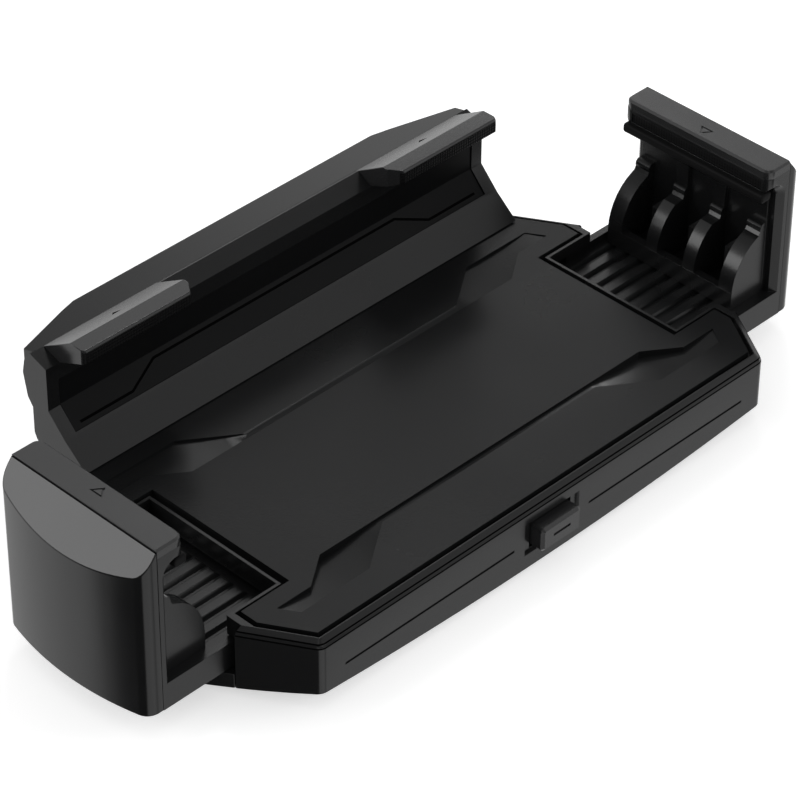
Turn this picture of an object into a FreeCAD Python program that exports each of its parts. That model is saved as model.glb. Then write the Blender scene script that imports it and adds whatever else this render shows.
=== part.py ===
import FreeCAD
import Part
import Sketcher
import math
import os
import re

# Phone holder with two sliding end clamps, a folding rear stop and a release button.
# X runs along the phone, -Y is the button side, +Z is up, and Z = 0 is the flat underside.
# Every length is named once, in mm, in the Sizes sheet, and the features read its cells.

doc = FreeCAD.newDocument("phone_holder")
sheet = doc.addObject("Spreadsheet::Sheet", "Sizes")

SIZES = {
    # General fits
    "overrun": 1.0,
    "snug_gap": 0.05,
    "fit_gap": 0.15,
    "slide_gap": 0.3,
    # Base
    "base_half_y": 34.6,
    "base_front_half": 60.0,
    "corner_run": 11.4,
    "end_flat": 3.43,
    "wall_top": 14.6,
    "wall_thick": 2.4,
    "low_bevel_rise": 0.8,
    "low_bevel_in": 0.35,
    "top_bevel_rise": 0.7,
    "top_bevel_in": 1.1,
    "rim_width": 0.2,
    "corner_round": 2.0,
    "belly_radius_long": 750.0,
    "belly_radius_across": 145.0,
    "belly_drop": 2.53,
    "belly_spare": 5.0,
    "belly_below": 20.0,
    "line_height": 7.9,
    "line_near": 10.2,
    "line_end": 5.8,
    "line_width": 0.55,
    "line_depth": 0.35,
    # Arm channel and slots
    "tray_top": 5.3,
    "cover_gap": 0.1,
    "channel_wall": 1.6,
    "notch_deep": 4.8,
    "notch_side": 1.77,
    "tongue_gap": 0.25,
    "slot_in": 12.3,
    "slot_ledge": 2.03,
    "slot_lip": 0.6,
    "deck_ceiling": 13.2,
    "cell_in_x": 12.0,
    "cell_side": 6.0,
    "cell_near_y": 5.0,
    "cell_bar_low": 15.0,
    "cell_bar_high": 21.0,
    "cell_edge": 5.6,
    "cell_floor": 2.0,
    # Top mat
    "mat_low": 14.6,
    "mat_thick": 1.8,
    "mat_inset": 2.55,
    "mat_gap": 0.9,
    "mat_end_gap": 2.3,
    "mat_slot_end": 2.0,
    "mat_slot_side": 1.3,
    "valley_edge": 17.6,
    "valley_depth": 0.5,
    "valley_width": 1.8,
    "valley_end": 22.0,
    "scoop_start": 31.6,
    "scoop_lead": 1.2,
    "scoop_near": 16.6,
    "scoop_bend": 9.3,
    "scoop_bend_reach": 5.2,
    "scoop_tip": 0.8,
    "scoop_end": 3.2,
    "scoop_reach": 9.1,
    "scoop_back": 20.3,
    "scoop_depth": 1.5,
    "scoop_radius": 120.0,
    "scoop_low": 14.5,
    "scoop_rise": 0.75,
    "scoop_run": 9.0,
    # Clamp arm
    "arm_half": 19.03,
    "plate_low": 5.63,
    "plate_high": 11.46,
    "plate_in": 17.0,
    "fork_before": 2.0,
    "end_wall": 2.3,
    "clamp_out": 12.6,
    "lip_reach": 6.3,
    "lip_low": 37.4,
    "lip_high": 40.7,
    "lip_round": 1.6,
    "inner_round": 2.2,
    "mouth_bevel": 1.3,
    "groove_edge": 2.12,
    "groove_half": 0.65,
    "groove_shoulder": 0.35,
    "groove_shoulder_deep": 0.3,
    "groove_floor_half": 0.35,
    "groove_depth": 0.9,
    "groove_after": 1.0,
    "rib_end_gap": 1.2,
    "rail_wide": 1.63,
    "rail_top": 13.3,
    "rail_inside": 6.6,
    # End lip, cap and pads
    "cap_thick": 1.95,
    "cap_round": 1.8,
    "cap_bevel": 0.4,
    "mark_tip": 1.1,
    "mark_back": 3.4,
    "mark_half": 1.65,
    "mark_line": 0.35,
    "mark_depth": 0.3,
    "band_foot": 0.4,
    "band_head": 0.8,
    "band_end": 2.03,
    "band_depth": 1.0,
    "band_inset": 0.2,
    "lip_pad_thick": 2.0,
    "lip_pad_out": 1.1,
    "lip_pad_end": 0.63,
    # Back plate and cradle
    "back_plate_thick": 0.8,
    "back_plate_side": 2.43,
    "pilaster_thick": 0.9,
    "inner_rib_near": 3.4,
    "inner_rib_far": 6.4,
    "outer_rib_wide": 3.6,
    "drum_behind": 0.6,
    "drum_z": 15.0,
    "drum_rx": 10.0,
    "drum_rz": 11.3,
    "block_rx": 6.0,
    "block_top": 7.5,
    "knob_reach": 2.4,
    "knob_round": 1.1,
    "block_wide": 2.1,
    "outer_knob_top": 28.4,
    "inner_knob_top": 27.4,
    "bar_thick": 1.8,
    "bar_top": 15.5,
    "cradle_floor": 0.8,
    # Grip shell
    "grip_sag": 2.803,
    "grip_reach": 6.15,
    "grip_round": 3.0,
    "grip_rise": 1.6,
    "grip_slope_drop": 7.6,
    "grip_hollow_side": 3.23,
    "grip_hollow_low": 8.0,
    "grip_hollow_high": 35.0,
    "grip_hollow_deep": 3.0,
    # Rack and pinion
    "pitch_radius": 5.0,
    "addendum": 0.9,
    "dedendum": 1.2,
    "tooth_tip_half": 0.18,
    "tooth_root_half": 0.93,
    "gear_pitch_half": 0.55,
    "gear_root_half": 0.75,
    "rack_low": 7.65,
    "rack_high": 11.2,
    "rack_back": 11.0,
    "rack_end": 14.0,
    "rack_head_in": 7.3,
    "rack_head_long": 3.0,
    "rack_head_half": 1.3,
    "gear_low": 7.75,
    "gear_high": 11.05,
    "disc_radius": 6.5,
    "disc_low": 5.6,
    "disc_high": 7.3,
    "axle_radius": 1.5,
    "axle_low": 2.6,
    "axle_high": 12.6,
    # Release button, lock plate and leaf spring
    "button_half": 5.3,
    "button_low": 6.0,
    "button_high": 11.4,
    "button_out": 2.6,
    "button_round": 0.9,
    "button_bevel": 0.6,
    "button_mark_half": 2.3,
    "button_mark_low": 8.5,
    "button_mark_high": 9.1,
    "flange_half": 6.9,
    "flange_thick": 1.2,
    "flange_low": 5.7,
    "flange_high": 12.3,
    "recess_half": 7.4,
    "recess_low": 5.0,
    "recess_high": 12.4,
    "recess_deep": 0.6,
    "recess_slope": 0.6,
    "stem_half": 3.4,
    "loop_half": 9.2,
    "loop_front": 11.6,
    "loop_rear": 9.9,
    "window_half": 6.95,
    "window_front": 9.1,
    "window_rear": 6.9,
    "lock_low": 5.6,
    "lock_high": 7.3,
    "leaf_middle_half": 2.0,
    "leaf_end_x": 12.0,
    "leaf_foot": 2.0,
    "leaf_clear": 2.92,
    "leaf_thick": 0.4,
    "leaf_low": 8.0,
    "leaf_high": 11.0,
    # Screws
    "screw_in": 20.0,
    "screw_head_radius": 2.4,
    "screw_head_low": 1.2,
    "screw_head_high": 3.0,
    "screw_head_gap": 0.2,
    "screw_radius": 1.2,
    "screw_top": 10.5,
    "boss_half": 3.0,
    # Rear stop shell; the Y places of the whole stop count from its hinge axis
    "flap_in": 1.7,
    "hinge_out": 5.0,
    "hinge_z": 15.0,
    "barrel_radius": 4.2,
    "lug_wide": 8.0,
    "lug_in": 6.3,
    "lug_low": 11.2,
    "lug_high": 16.0,
    "lug_clear_radius": 5.0,
    "pin_radius": 1.0,
    "pin_before": 8.0,
    "pin_end": 1.3,
    "flap_front_y": -9.6,
    "flap_front_z": 16.75,
    "bend_y": -4.2,
    "bend_z": 21.2,
    "face_y": 0.4,
    "face_z": 26.0,
    "head_z": 35.7,
    "crest_y": 4.8,
    "crest_z": 37.2,
    "back_top_y": 6.6,
    "back_top_z": 34.8,
    "back_y": 7.2,
    "back_z": 31.7,
    "neck_y": 6.2,
    "neck_z": 26.5,
    "heel_y": 4.9,
    "heel_top_z": 24.6,
    "heel_low_z": 18.7,
    "toe_y": 3.8,
    "toe_bevel": 0.75,
    "ridge_y": 3.9,
    "ridge_z": 37.7,
    # Rear stop panel and finger tab
    "panel_end": 3.1,
    "panel_thick": 1.1,
    "panel_top": 32.0,
    "panel_inset": 0.2,
    "seat_margin": 0.35,
    "tab_y": 14.4,
    "tab_top_z": 35.1,
    "tab_edge": 0.6,
    "tab_mid_y": 10.4,
    "tab_mid_z": 31.8,
    "tab_low_y": 7.8,
    "tab_low_z": 29.6,
    "tab_root_y": 6.9,
    "tab_root_z": 29.0,
    "tab_corner": 17.8,
    "tab_round": 6.0,
    "tab_end": 0.7,
    "tab_end_y": 7.4,
    # Hooks and their bands
    "hook_long": 28.5,
    "hook_end": 3.3,
    "hook_tip_y": -7.0,
    "hook_under": 39.0,
    "hook_top": 41.95,
    "hook_edge": 0.35,
    "hook_flat_y": -3.0,
    "hook_band_thick": 0.8,
    "hook_band_high": 41.3,
    "near_corner_reach": 2.0,
    "near_corner_y": -4.2,
    "far_corner_reach": 0.6,
    "far_corner_y": -5.9,
}

# Cells worked out from the lengths above
FORMULAS = {
    "slant": "(base_end_x - base_front_half) / (base_half_y - base_end_half)",
    "slant_stretch": "sqrt(1 + slant * slant)",
    "corner_turn": "atan(1 / slant)",
    "rim_top": "wall_top + low_bevel_rise + top_bevel_rise",
    "rim_inset": "low_bevel_in + top_bevel_in + rim_width",
    "channel_half": "arm_half + slide_gap",
    "deck_low": "plate_high + slide_gap",
    "tooth_pitch": "2 * pi * pitch_radius / 10",
    "gear_root": "pitch_radius - dedendum",
    "rack_root": "pitch_radius + dedendum",
    "cradle_back": "wall_in - back_plate_thick",
    "button_rear_y": "wall_thick - base_half_y + tongue_gap",
    "leaf_root_y": "button_rear_y + flange_thick",
    "hook_fall": "(hook_under - head_z) / (face_y - hook_tip_y)",
    "notch_half": "arm_half + notch_side",
    "slot_half": "arm_half - slot_ledge",
    "line_far": "base_front_half - line_end",
    "cell_far_y": "base_half_y - cell_edge",
    "screw_y": "(channel_half + channel_wall + base_half_y - wall_thick) / 2",
    "mat_high": "mat_low + mat_thick",
    "mat_end_x": "notch_x - mat_end_gap",
    "mat_slot_x": "slot_x - mat_slot_end",
    "mat_slot_half": "slot_half + mat_slot_side",
    "valley_y": "base_half_y - valley_edge",
    "scoop_start_y": "valley_y + scoop_lead",
    "scoop_bend_y": "valley_y + scoop_bend_reach",
    "scoop_end_y": "valley_y + scoop_reach",
    "fork_half": "rack_back + rack_head_half",
    "wall_in": "wall_out - end_wall",
    "lip_in": "wall_out - lip_reach",
    "groove_pitch": "(slot_half - groove_edge) / 4",
    "rib_end": "slot_x + rib_end_gap",
    "rail_in": "arm_half - rail_wide",
    "cap_high": "lip_high + cap_thick",
    "mark_tip_x": "lip_in + mark_tip",
    "mark_back_x": "lip_in + mark_back",
    "band_low": "lip_low + band_foot",
    "band_high": "lip_high - band_head",
    "band_half": "arm_half - band_end",
    "lip_pad_low": "lip_low - lip_pad_thick",
    "lip_pad_in": "lip_in - lip_pad_out",
    "lip_pad_half": "arm_half - lip_pad_end",
    "back_plate_half": "arm_half - back_plate_side",
    "cradle_half": "back_plate_half",
    "outer_rib_near": "cradle_half - outer_rib_wide",
    "drum_x": "cradle_back + drum_behind",
    "knob_in": "drum_x - knob_reach",
    "grip_out": "wall_out + grip_reach",
    "grip_bulge": "arm_half * arm_half / (2 * grip_sag) + grip_sag / 2",
    "grip_top": "lip_high + grip_rise",
    "grip_hollow_half": "arm_half - grip_hollow_side",
    "button_face_y": "base_half_y + button_out",
    "leaf_reach": "-(channel_half + channel_wall) - leaf_root_y - leaf_thick - leaf_clear",
    "hinge_y": "base_half_y + hinge_out",
    "pin_far": "flap_half - pin_end",
    "panel_half": "flap_half - panel_end",
    "tab_end_half": "flap_half - tab_end",
    "hook_far": "flap_half - hook_end",
    "near_corner_x": "hook_near + near_corner_reach",
    "far_corner_x": "hook_far - far_corner_reach",
    "base_end_x": "base_front_half + corner_run",
    "base_end_half": "arm_half - end_flat",
    "notch_x": "base_end_x - notch_deep",
    "slot_x": "notch_x - slot_in",
    "cell_out_x": "screw_x - cell_side",
    "valley_half": "base_front_half - valley_end",
    "scoop_start_x": "base_front_half - scoop_start",
    "scoop_near_x": "base_front_half - scoop_near",
    "scoop_bend_x": "base_front_half - scoop_bend",
    "scoop_tip_x": "base_front_half - scoop_tip",
    "scoop_end_x": "base_front_half - scoop_end",
    "scoop_back_x": "base_front_half - scoop_back",
    "scoop_low_x": "base_front_half - scoop_low",
    "fork_in": "rack_head_x - fork_before",
    "wall_out": "base_end_x + clamp_out",
    "groove_start": "rack_head_out + groove_after",
    "rail_from": "notch_x - rail_inside",
    "rack_head_x": "slot_x - rack_head_in",
    "rack_head_out": "rack_head_x + rack_head_long",
    "screw_x": "base_front_half - screw_in",
    "flap_half": "base_front_half - flap_in",
    "lug_near": "lug_far - lug_wide",
    "lug_far": "flap_half - lug_in",
    "pin_near": "lug_near - pin_before",
    "hook_near": "hook_far - hook_long",
    "tab_half": "flap_half - tab_corner",
}

row = 0
for alias, value in SIZES.items():
    row = row + 1
    sheet.set("A%d" % row, alias)
    sheet.setAlias("B%d" % row, alias)
    sheet.set("B%d" % row, str(value))
for alias, text in FORMULAS.items():
    row = row + 1
    sheet.set("A%d" % row, alias)
    sheet.setAlias("B%d" % row, alias)
    sheet.set("B%d" % row, "=" + text)
doc.recompute()

FUNCTIONS = {"sin", "cos", "tan", "atan", "sqrt", "deg", "pi"}


def name_link(match):
    word = match.group(0)
    return word if word in FUNCTIONS else "Sizes." + word


def linked(formula):
    """Turn a formula in size names into one that reads the sheet's cells."""
    return re.sub(r"[a-z][a-z_0-9]*", name_link, formula)


# Helpers for sketches and features


def new_part(label):
    return doc.addObject("PartDesign::Body", label)


def sketch_on(body, name, plane, height):
    """Start a sketch on one of the part's own origin planes, lifted by a formula."""
    planes = [item for item in body.Origin.OriginFeatures if item.Role == plane]
    sketch = body.newObject("Sketcher::SketchObject", name)
    sketch.AttachmentSupport = (planes[0], [""])
    sketch.MapMode = "FlatFace"
    sketch.setExpression("AttachmentOffset.Base.z", linked(height))
    return sketch


def hold(sketch, kind, geometry, point, formula):
    """Tie one coordinate of a sketch point to a formula."""
    number = sketch.addConstraint(Sketcher.Constraint(kind, -1, 1, geometry, point, 1.0))
    sketch.setExpression("Constraints[%d]" % number, linked(formula))


def polygon(body, name, plane, height, points):
    """Closed outline whose corners are held at pairs of formulas."""
    sketch = sketch_on(body, name, plane, height)
    count = len(points)
    ring = []
    for index in range(count + 1):
        angle = 2 * math.pi * index / count
        ring.append(FreeCAD.Vector(9 * math.cos(angle), 9 * math.sin(angle), 0))
    sketch.addGeometry([Part.LineSegment(ring[i], ring[i + 1]) for i in range(count)], False)
    for index in range(count):
        following = (index + 1) % count
        sketch.addConstraint(Sketcher.Constraint("Coincident", index, 2, following, 1))
    for index, (across, up) in enumerate(points):
        hold(sketch, "DistanceX", index, 1, across)
        hold(sketch, "DistanceY", index, 1, up)
    return sketch


def discs(body, name, plane, height, centres, radius):
    """Sketch with one circle at each pair of formulas."""
    sketch = sketch_on(body, name, plane, height)
    for index, (across, up) in enumerate(centres):
        start = FreeCAD.Vector(20 * index, 0, 0)
        sketch.addGeometry(Part.Circle(start, FreeCAD.Vector(0, 0, 1), 3), False)
        hold(sketch, "DistanceX", index, 3, across)
        hold(sketch, "DistanceY", index, 3, up)
        number = sketch.addConstraint(Sketcher.Constraint("Radius", index, 3.0))
        sketch.setExpression("Constraints[%d]" % number, linked(radius))
    return sketch


def feature(body, kind, name, sketch, length):
    item = body.newObject("PartDesign::" + kind, name)
    item.Profile = sketch
    item.SideType = "One side"
    item.setExpression("Length", linked(length))
    return item


def slab(body, name, points, low, high):
    """Add material over a plan outline between two heights."""
    sketch = polygon(body, name + "_plan", "XY_Plane", low, points)
    return feature(body, "Pad", name, sketch, "%s - (%s)" % (high, low))


def cut_slab(body, name, points, low, high):
    """Cut a plan outline between two heights; a pocket cuts down from its sketch."""
    sketch = polygon(body, name + "_plan", "XY_Plane", high, points)
    return feature(body, "Pocket", name, sketch, "%s - (%s)" % (high, low))


def bar_across(body, name, points, low, high):
    """Add an X-Z outline between two Y places; this plane's normal points to -Y."""
    sketch = polygon(body, name + "_side", "XZ_Plane", "-(%s)" % high, points)
    return feature(body, "Pad", name, sketch, "%s - (%s)" % (high, low))


def cut_across(body, name, points, low, high):
    sketch = polygon(body, name + "_side", "XZ_Plane", "-(%s)" % low, points)
    return feature(body, "Pocket", name, sketch, "%s - (%s)" % (high, low))


def bar_along(body, name, points, low, high):
    """Add a Y-Z outline between two X places."""
    sketch = polygon(body, name + "_end", "YZ_Plane", low, points)
    return feature(body, "Pad", name, sketch, "%s - (%s)" % (high, low))


def cut_along(body, name, points, low, high):
    sketch = polygon(body, name + "_end", "YZ_Plane", high, points)
    return feature(body, "Pocket", name, sketch, "%s - (%s)" % (high, low))


def box(low_x, high_x, low_y, high_y):
    """Corners of a rectangle, counted anticlockwise."""
    return [(low_x, low_y), (high_x, low_y), (high_x, high_y), (low_x, high_y)]


def both_ways(points):
    """An outline given for y > 0, closed with its mirror image for y < 0."""
    return points + [(across, "-(%s)" % up) for across, up in reversed(points)]


def all_ways(points):
    """An outline given for x > 0 and y > 0 from the Y axis to the X axis, made whole."""
    right = both_ways(points)
    return right + [("-(%s)" % across, up) for across, up in reversed(right)]


def axis_of(body, letter):
    return [item for item in body.Origin.OriginFeatures if item.Role == letter + "_Axis"][0]


def line_pattern(body, name, source, letter, span, count):
    """Repeat a feature along one of the part's axes."""
    item = body.newObject("PartDesign::LinearPattern", name)
    item.Originals = [source]
    item.Direction = (axis_of(body, letter), [""])
    item.setExpression("Length", linked(span))
    item.Occurrences = count
    body.Tip = item
    return item


def soften(body, kind, name, amount, picked):
    """Fillet or chamfer the edges of the part so far that a test picks."""
    doc.recompute()
    base = body.Tip
    names = []
    for number, edge in enumerate(base.Shape.Edges, 1):
        if picked(edge):
            names.append("Edge%d" % number)
    item = body.newObject("PartDesign::" + kind, name)
    item.Base = (base, names)
    measure = "Radius" if kind == "Fillet" else "Size"
    item.setExpression(measure, linked(amount))
    return item


def near(value, target):
    return abs(value - target) < 0.02


def middle(edge):
    return edge.CenterOfMass


def runs_along(edge, letter):
    """True for a straight edge along one axis."""
    start, end = edge.Vertexes[0].Point, edge.Vertexes[-1].Point
    across = {"x": ("y", "z"), "y": ("x", "z"), "z": ("x", "y")}[letter]
    straight = abs(edge.Length - (end - start).Length) < 0.001
    return straight and all(near(getattr(start, other), getattr(end, other)) for other in across)


def size_of(alias):
    return float(sheet.get(alias))


def grouped(label, shapes):
    group = doc.addObject("Part::Compound", label)
    group.Links = shapes
    return group


def mirrored(source, label, way=(1, 0, 0)):
    """A copy mirrored through the origin, left to right unless told otherwise."""
    item = doc.addObject("Part::Mirroring", label)
    item.Source = source
    item.Normal = way
    item.Base = (0, 0, 0)
    return item


# Base


def front_x(inset):
    return "base_front_half - (slant_stretch - slant) * (%s)" % inset


def slant_x(y_place, inset):
    """X place on the slanted corner, moved in by a formula, at one Y place."""
    return "base_end_x - (%s - base_end_half) * slant - slant_stretch * (%s)" % (y_place, inset)


def slant_y(x_place, inset):
    """Y place on the slanted corner, moved in by a formula, at one X place."""
    return "base_end_half + (base_end_x - slant_stretch * (%s) - (%s)) / slant" % (inset, x_place)


def base_outline(inset):
    """Corners of the eight-sided base, moved in by a formula."""
    end_y = "base_end_half - (slant_stretch - 1) / slant * (%s)" % inset
    return all_ways([(front_x(inset), "base_half_y - (%s)" % inset), ("base_end_x - (%s)" % inset, end_y)])


def round_outline(inset):
    """The base outline with its front and rear corners rounded in four steps."""
    corner = []
    for step in range(5):
        turn = "(corner_turn * %d / 4)" % step
        across = "base_front_half - corner_round * tan(corner_turn / 2)"
        across = "%s + (corner_round - (%s)) * sin%s" % (across, inset, turn)
        up = "base_half_y - corner_round + (corner_round - (%s)) * cos%s" % (inset, turn)
        corner.append((across, up))
    end_y = "base_end_half - (slant_stretch - 1) / slant * (%s)" % inset
    return all_ways(corner + [("base_end_x - (%s)" % inset, end_y)])


def bevel_ring(body, name, low, low_inset, high, high_inset):
    """Bevel of the base between two heights, from one inset to another."""
    lower = polygon(body, name + "_low", "XY_Plane", low, round_outline(low_inset))
    upper = polygon(body, name + "_high", "XY_Plane", high, round_outline(high_inset))
    item = body.newObject("PartDesign::AdditiveLoft", name)
    item.Profile = lower
    item.Sections = [(upper, [""])]
    item.Ruled = True
    return item


def carve_belly(body):
    """Cut the underside to a shallow dome that is flat in its middle."""
    sketch = sketch_on(body, "belly_arc", "YZ_Plane", "0")
    reach = size_of("base_half_y") + size_of("belly_spare")
    radius = size_of("belly_radius_across")
    low = -size_of("belly_drop")
    edge_z = low + radius - math.sqrt(radius * radius - reach * reach)
    below = -size_of("belly_below")
    points = [(-reach, edge_z), (reach, edge_z), (reach, below), (-reach, below)]
    corners = [FreeCAD.Vector(across, up, 0) for across, up in points]
    sketch.addGeometry(Part.Arc(corners[0], FreeCAD.Vector(0, low, 0), corners[1]), False)
    for start, end in ((1, 2), (2, 3), (3, 0)):
        sketch.addGeometry(Part.LineSegment(corners[start], corners[end]), False)
    axis_z = size_of("belly_radius_long") + low
    ends = FreeCAD.Vector(-reach, axis_z, 0), FreeCAD.Vector(reach, axis_z, 0)
    axis = sketch.addGeometry(Part.LineSegment(ends[0], ends[1]), True)
    sketch.addConstraint(Sketcher.Constraint("Coincident", 0, 2, 1, 1))
    sketch.addConstraint(Sketcher.Constraint("Coincident", 1, 2, 2, 1))
    sketch.addConstraint(Sketcher.Constraint("Coincident", 2, 2, 3, 1))
    sketch.addConstraint(Sketcher.Constraint("Coincident", 3, 2, 0, 1))
    number = sketch.addConstraint(Sketcher.Constraint("Radius", 0, radius))
    sketch.setExpression("Constraints[%d]" % number, linked("belly_radius_across"))
    hold(sketch, "DistanceX", 0, 3, "0")
    hold(sketch, "DistanceY", 0, 3, "belly_radius_across - belly_drop")
    wide = "base_half_y + belly_spare"
    for geometry, point, place in ((0, 1, "-(%s)"), (0, 2, "%s"), (2, 1, "%s"), (3, 1, "-(%s)")):
        hold(sketch, "DistanceX", geometry, point, place % wide)
    for geometry in (2, 3):
        hold(sketch, "DistanceY", geometry, 1, "-belly_below")
    for point, place in ((1, "-(%s)"), (2, "%s")):
        hold(sketch, "DistanceX", axis, point, place % wide)
        hold(sketch, "DistanceY", axis, point, "belly_radius_long - belly_drop")
    groove = body.newObject("PartDesign::Groove", "belly")
    groove.Profile = sketch
    groove.ReferenceAxis = (sketch, ["Axis0"])
    groove.Midplane = True
    groove.Angle = 16
    return groove


def screw_places():
    return [("%s * screw_x" % a, "%s * screw_y" % b) for a in ("1", "-1") for b in ("1", "-1")]


def make_housing():
    body = new_part("upper_housing")
    slab(body, "walls", round_outline("0"), "0", "wall_top")
    bevel_ring(body, "low_bevel", "wall_top", "0", "wall_top + low_bevel_rise", "low_bevel_in")
    bevel_ring(
        body, "top_bevel", "wall_top + low_bevel_rise", "low_bevel_in", "rim_top", "low_bevel_in + top_bevel_in"
    )
    carve_belly(body)
    ends = box("notch_x", "base_end_x + overrun", "-notch_half", "notch_half")
    cut_slab(body, "right_notch", ends, "-overrun", "rim_top + overrun")
    ends = box("-base_end_x - overrun", "-notch_x", "-notch_half", "notch_half")
    cut_slab(body, "left_notch", ends, "-overrun", "rim_top + overrun")
    end_x = "mat_end_x + mat_gap"
    pocket = all_ways(
        [
            (front_x("rim_inset"), "base_half_y - rim_inset"),
            (end_x, slant_y(end_x, "rim_inset")),
            (end_x, "slot_half + slot_lip"),
            ("slot_x - slot_lip", "slot_half + slot_lip"),
        ]
    )
    cut_slab(body, "mat_pocket", pocket, "mat_low", "rim_top + overrun")
    cut_slab(body, "cover_seat", base_outline("wall_thick"), "-overrun", "tray_top + cover_gap")
    channel = box("-base_end_x", "base_end_x", "-channel_half", "channel_half")
    cut_slab(body, "arm_channel", channel, "tray_top", "deck_low")
    for side, low_x, high_x in (("left", "-base_end_x", "-slot_x"), ("right", "slot_x", "base_end_x")):
        slot = box(low_x, high_x, "-slot_half", "slot_half")
        cut_slab(body, side + "_slot", slot, "deck_low", "rim_top + overrun")
    for side, low_x, high_x in (("left", "-base_end_x", "-plate_in"), ("right", "plate_in", "base_end_x")):
        relief = box(low_x, high_x, "slot_half", "channel_half")
        cut_slab(body, side + "_rail_relief", relief, "deck_low", "rail_top + slide_gap")
    wall_y = "channel_half + channel_wall"
    for side, sign in (("front", "-1"), ("rear", "1")):
        outer = "%s * (base_half_y - wall_thick)" % sign
        inner = "%s * (%s)" % (sign, wall_y)
        outer_x = front_x("wall_thick")
        inner_x = slant_x(wall_y, "wall_thick")
        hollow = [(outer_x, outer), (inner_x, inner), ("-(%s)" % inner_x, inner), ("-(%s)" % outer_x, outer)]
        cut_slab(body, side + "_hollow", hollow, "tray_top", "deck_ceiling")
    for number, (across, up) in enumerate(screw_places(), 1):
        post = box(
            across + " - boss_half", across + " + boss_half", up + " - boss_half", up + " + boss_half"
        )
        slab(body, "boss_%d" % number, post, "tray_top + cover_gap", "deck_ceiling + overrun / 2")
    holes = discs(
        body, "boss_hole_plan", "XY_Plane", "screw_top + slide_gap", screw_places(), "screw_radius + snug_gap"
    )
    feature(body, "Pocket", "boss_holes", holes, "screw_top + slide_gap")
    make_lugs(body)
    carve_button_seat(body)
    for side, low_x, high_x in (("left", "-line_far", "-line_near"), ("right", "line_near", "line_far")):
        line = box(low_x, high_x, "line_height - line_width / 2", "line_height + line_width / 2")
        cut_across(body, side + "_front_line", line, "-base_half_y", "-base_half_y + line_depth")
    axle = discs(
        body, "axle_hole_plan", "XY_Plane", "axle_high + fit_gap", [("0", "0")], "axle_radius + snug_gap"
    )
    feature(body, "Pocket", "axle_hole", axle, "axle_high + fit_gap - deck_low + overrun")
    return body


def make_lugs(body):
    """Two hinge lugs on the rear wall, each with a pin hole."""
    for side, low_x, high_x in (("left", "-lug_far", "-lug_near"), ("right", "lug_near", "lug_far")):
        block = box("base_half_y - overrun", "hinge_y", "lug_low", "lug_high")
        bar_along(body, side + "_lug", block, low_x, high_x)
        ring = discs(body, side + "_lug_ring", "YZ_Plane", low_x, [("hinge_y", "hinge_z")], "barrel_radius")
        feature(body, "Pad", side + "_lug_eye", ring, "lug_far - lug_near")
        hole = discs(
            body, side + "_lug_hole_ring", "YZ_Plane", high_x, [("hinge_y", "hinge_z")],
            "pin_radius + snug_gap",
        )
        feature(body, "Pocket", side + "_lug_hole", hole, "lug_far - lug_near")


def carve_button_seat(body):
    """Dished recess, through hole and stem gate for the release button in the front wall."""
    recess = box("-recess_half", "recess_half", "recess_low", "recess_high")
    dish = cut_across(body, "button_recess", recess, "-base_half_y", "-base_half_y + recess_deep")
    dish.setExpression("TaperAngle", linked("-atan(recess_slope / recess_deep)"))
    wide = "button_half + slide_gap"
    hole = box("-(%s)" % wide, wide, "button_low - slide_gap", "button_high + slide_gap")
    cut_across(body, "button_hole", hole, "-base_half_y", "-base_half_y + wall_thick + overrun / 2")
    gate = box("-stem_half - slide_gap", "stem_half + slide_gap", "tray_top", "lock_high + slide_gap")
    cut_across(body, "stem_gate", gate, "-channel_half - channel_wall - overrun / 2", "-channel_half + overrun / 2")


def make_cover():
    body = new_part("bottom_cover")
    inset = "wall_thick + fit_gap"
    tongue_y = "notch_half - tongue_gap"
    tongue_x = "notch_x + fit_gap"
    plan = all_ways(
        [
            (front_x(inset), "base_half_y - (%s)" % inset),
            (tongue_x, slant_y(tongue_x, inset)),
            (tongue_x, tongue_y),
            (slant_x(tongue_y, "0"), tongue_y),
            ("base_end_x", "base_end_half"),
        ]
    )
    slab(body, "cover", plan, "0", "tray_top")
    carve_belly(body)
    for side, low_x, high_x in (("left", "-cell_out_x", "-cell_in_x"), ("right", "cell_in_x", "cell_out_x")):
        for sign in ("-1", "1"):
            for low_y, high_y in (("cell_near_y", "cell_bar_low"), ("cell_bar_high", "cell_far_y")):
                name = "%s_cell_%s_%s" % (side, "front" if sign == "-1" else "rear", low_y)
                cell = box(low_x, high_x, "%s * %s" % (sign, low_y), "%s * %s" % (sign, high_y))
                cut_slab(body, name, cell, "cell_floor", "tray_top")
    seats = discs(
        body, "head_plan", "XY_Plane", "screw_head_high", screw_places(), "screw_head_radius + screw_head_gap"
    )
    feature(body, "Pocket", "head_seats", seats, "screw_head_high + overrun")
    holes = discs(body, "shaft_plan", "XY_Plane", "tray_top", screw_places(), "screw_radius + snug_gap")
    feature(body, "Pocket", "shaft_holes", holes, "tray_top")
    axle = discs(body, "axle_seat_plan", "XY_Plane", "tray_top", [("0", "0")], "axle_radius + snug_gap")
    feature(body, "Pocket", "axle_seat", axle, "tray_top - axle_low")
    return body


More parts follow.
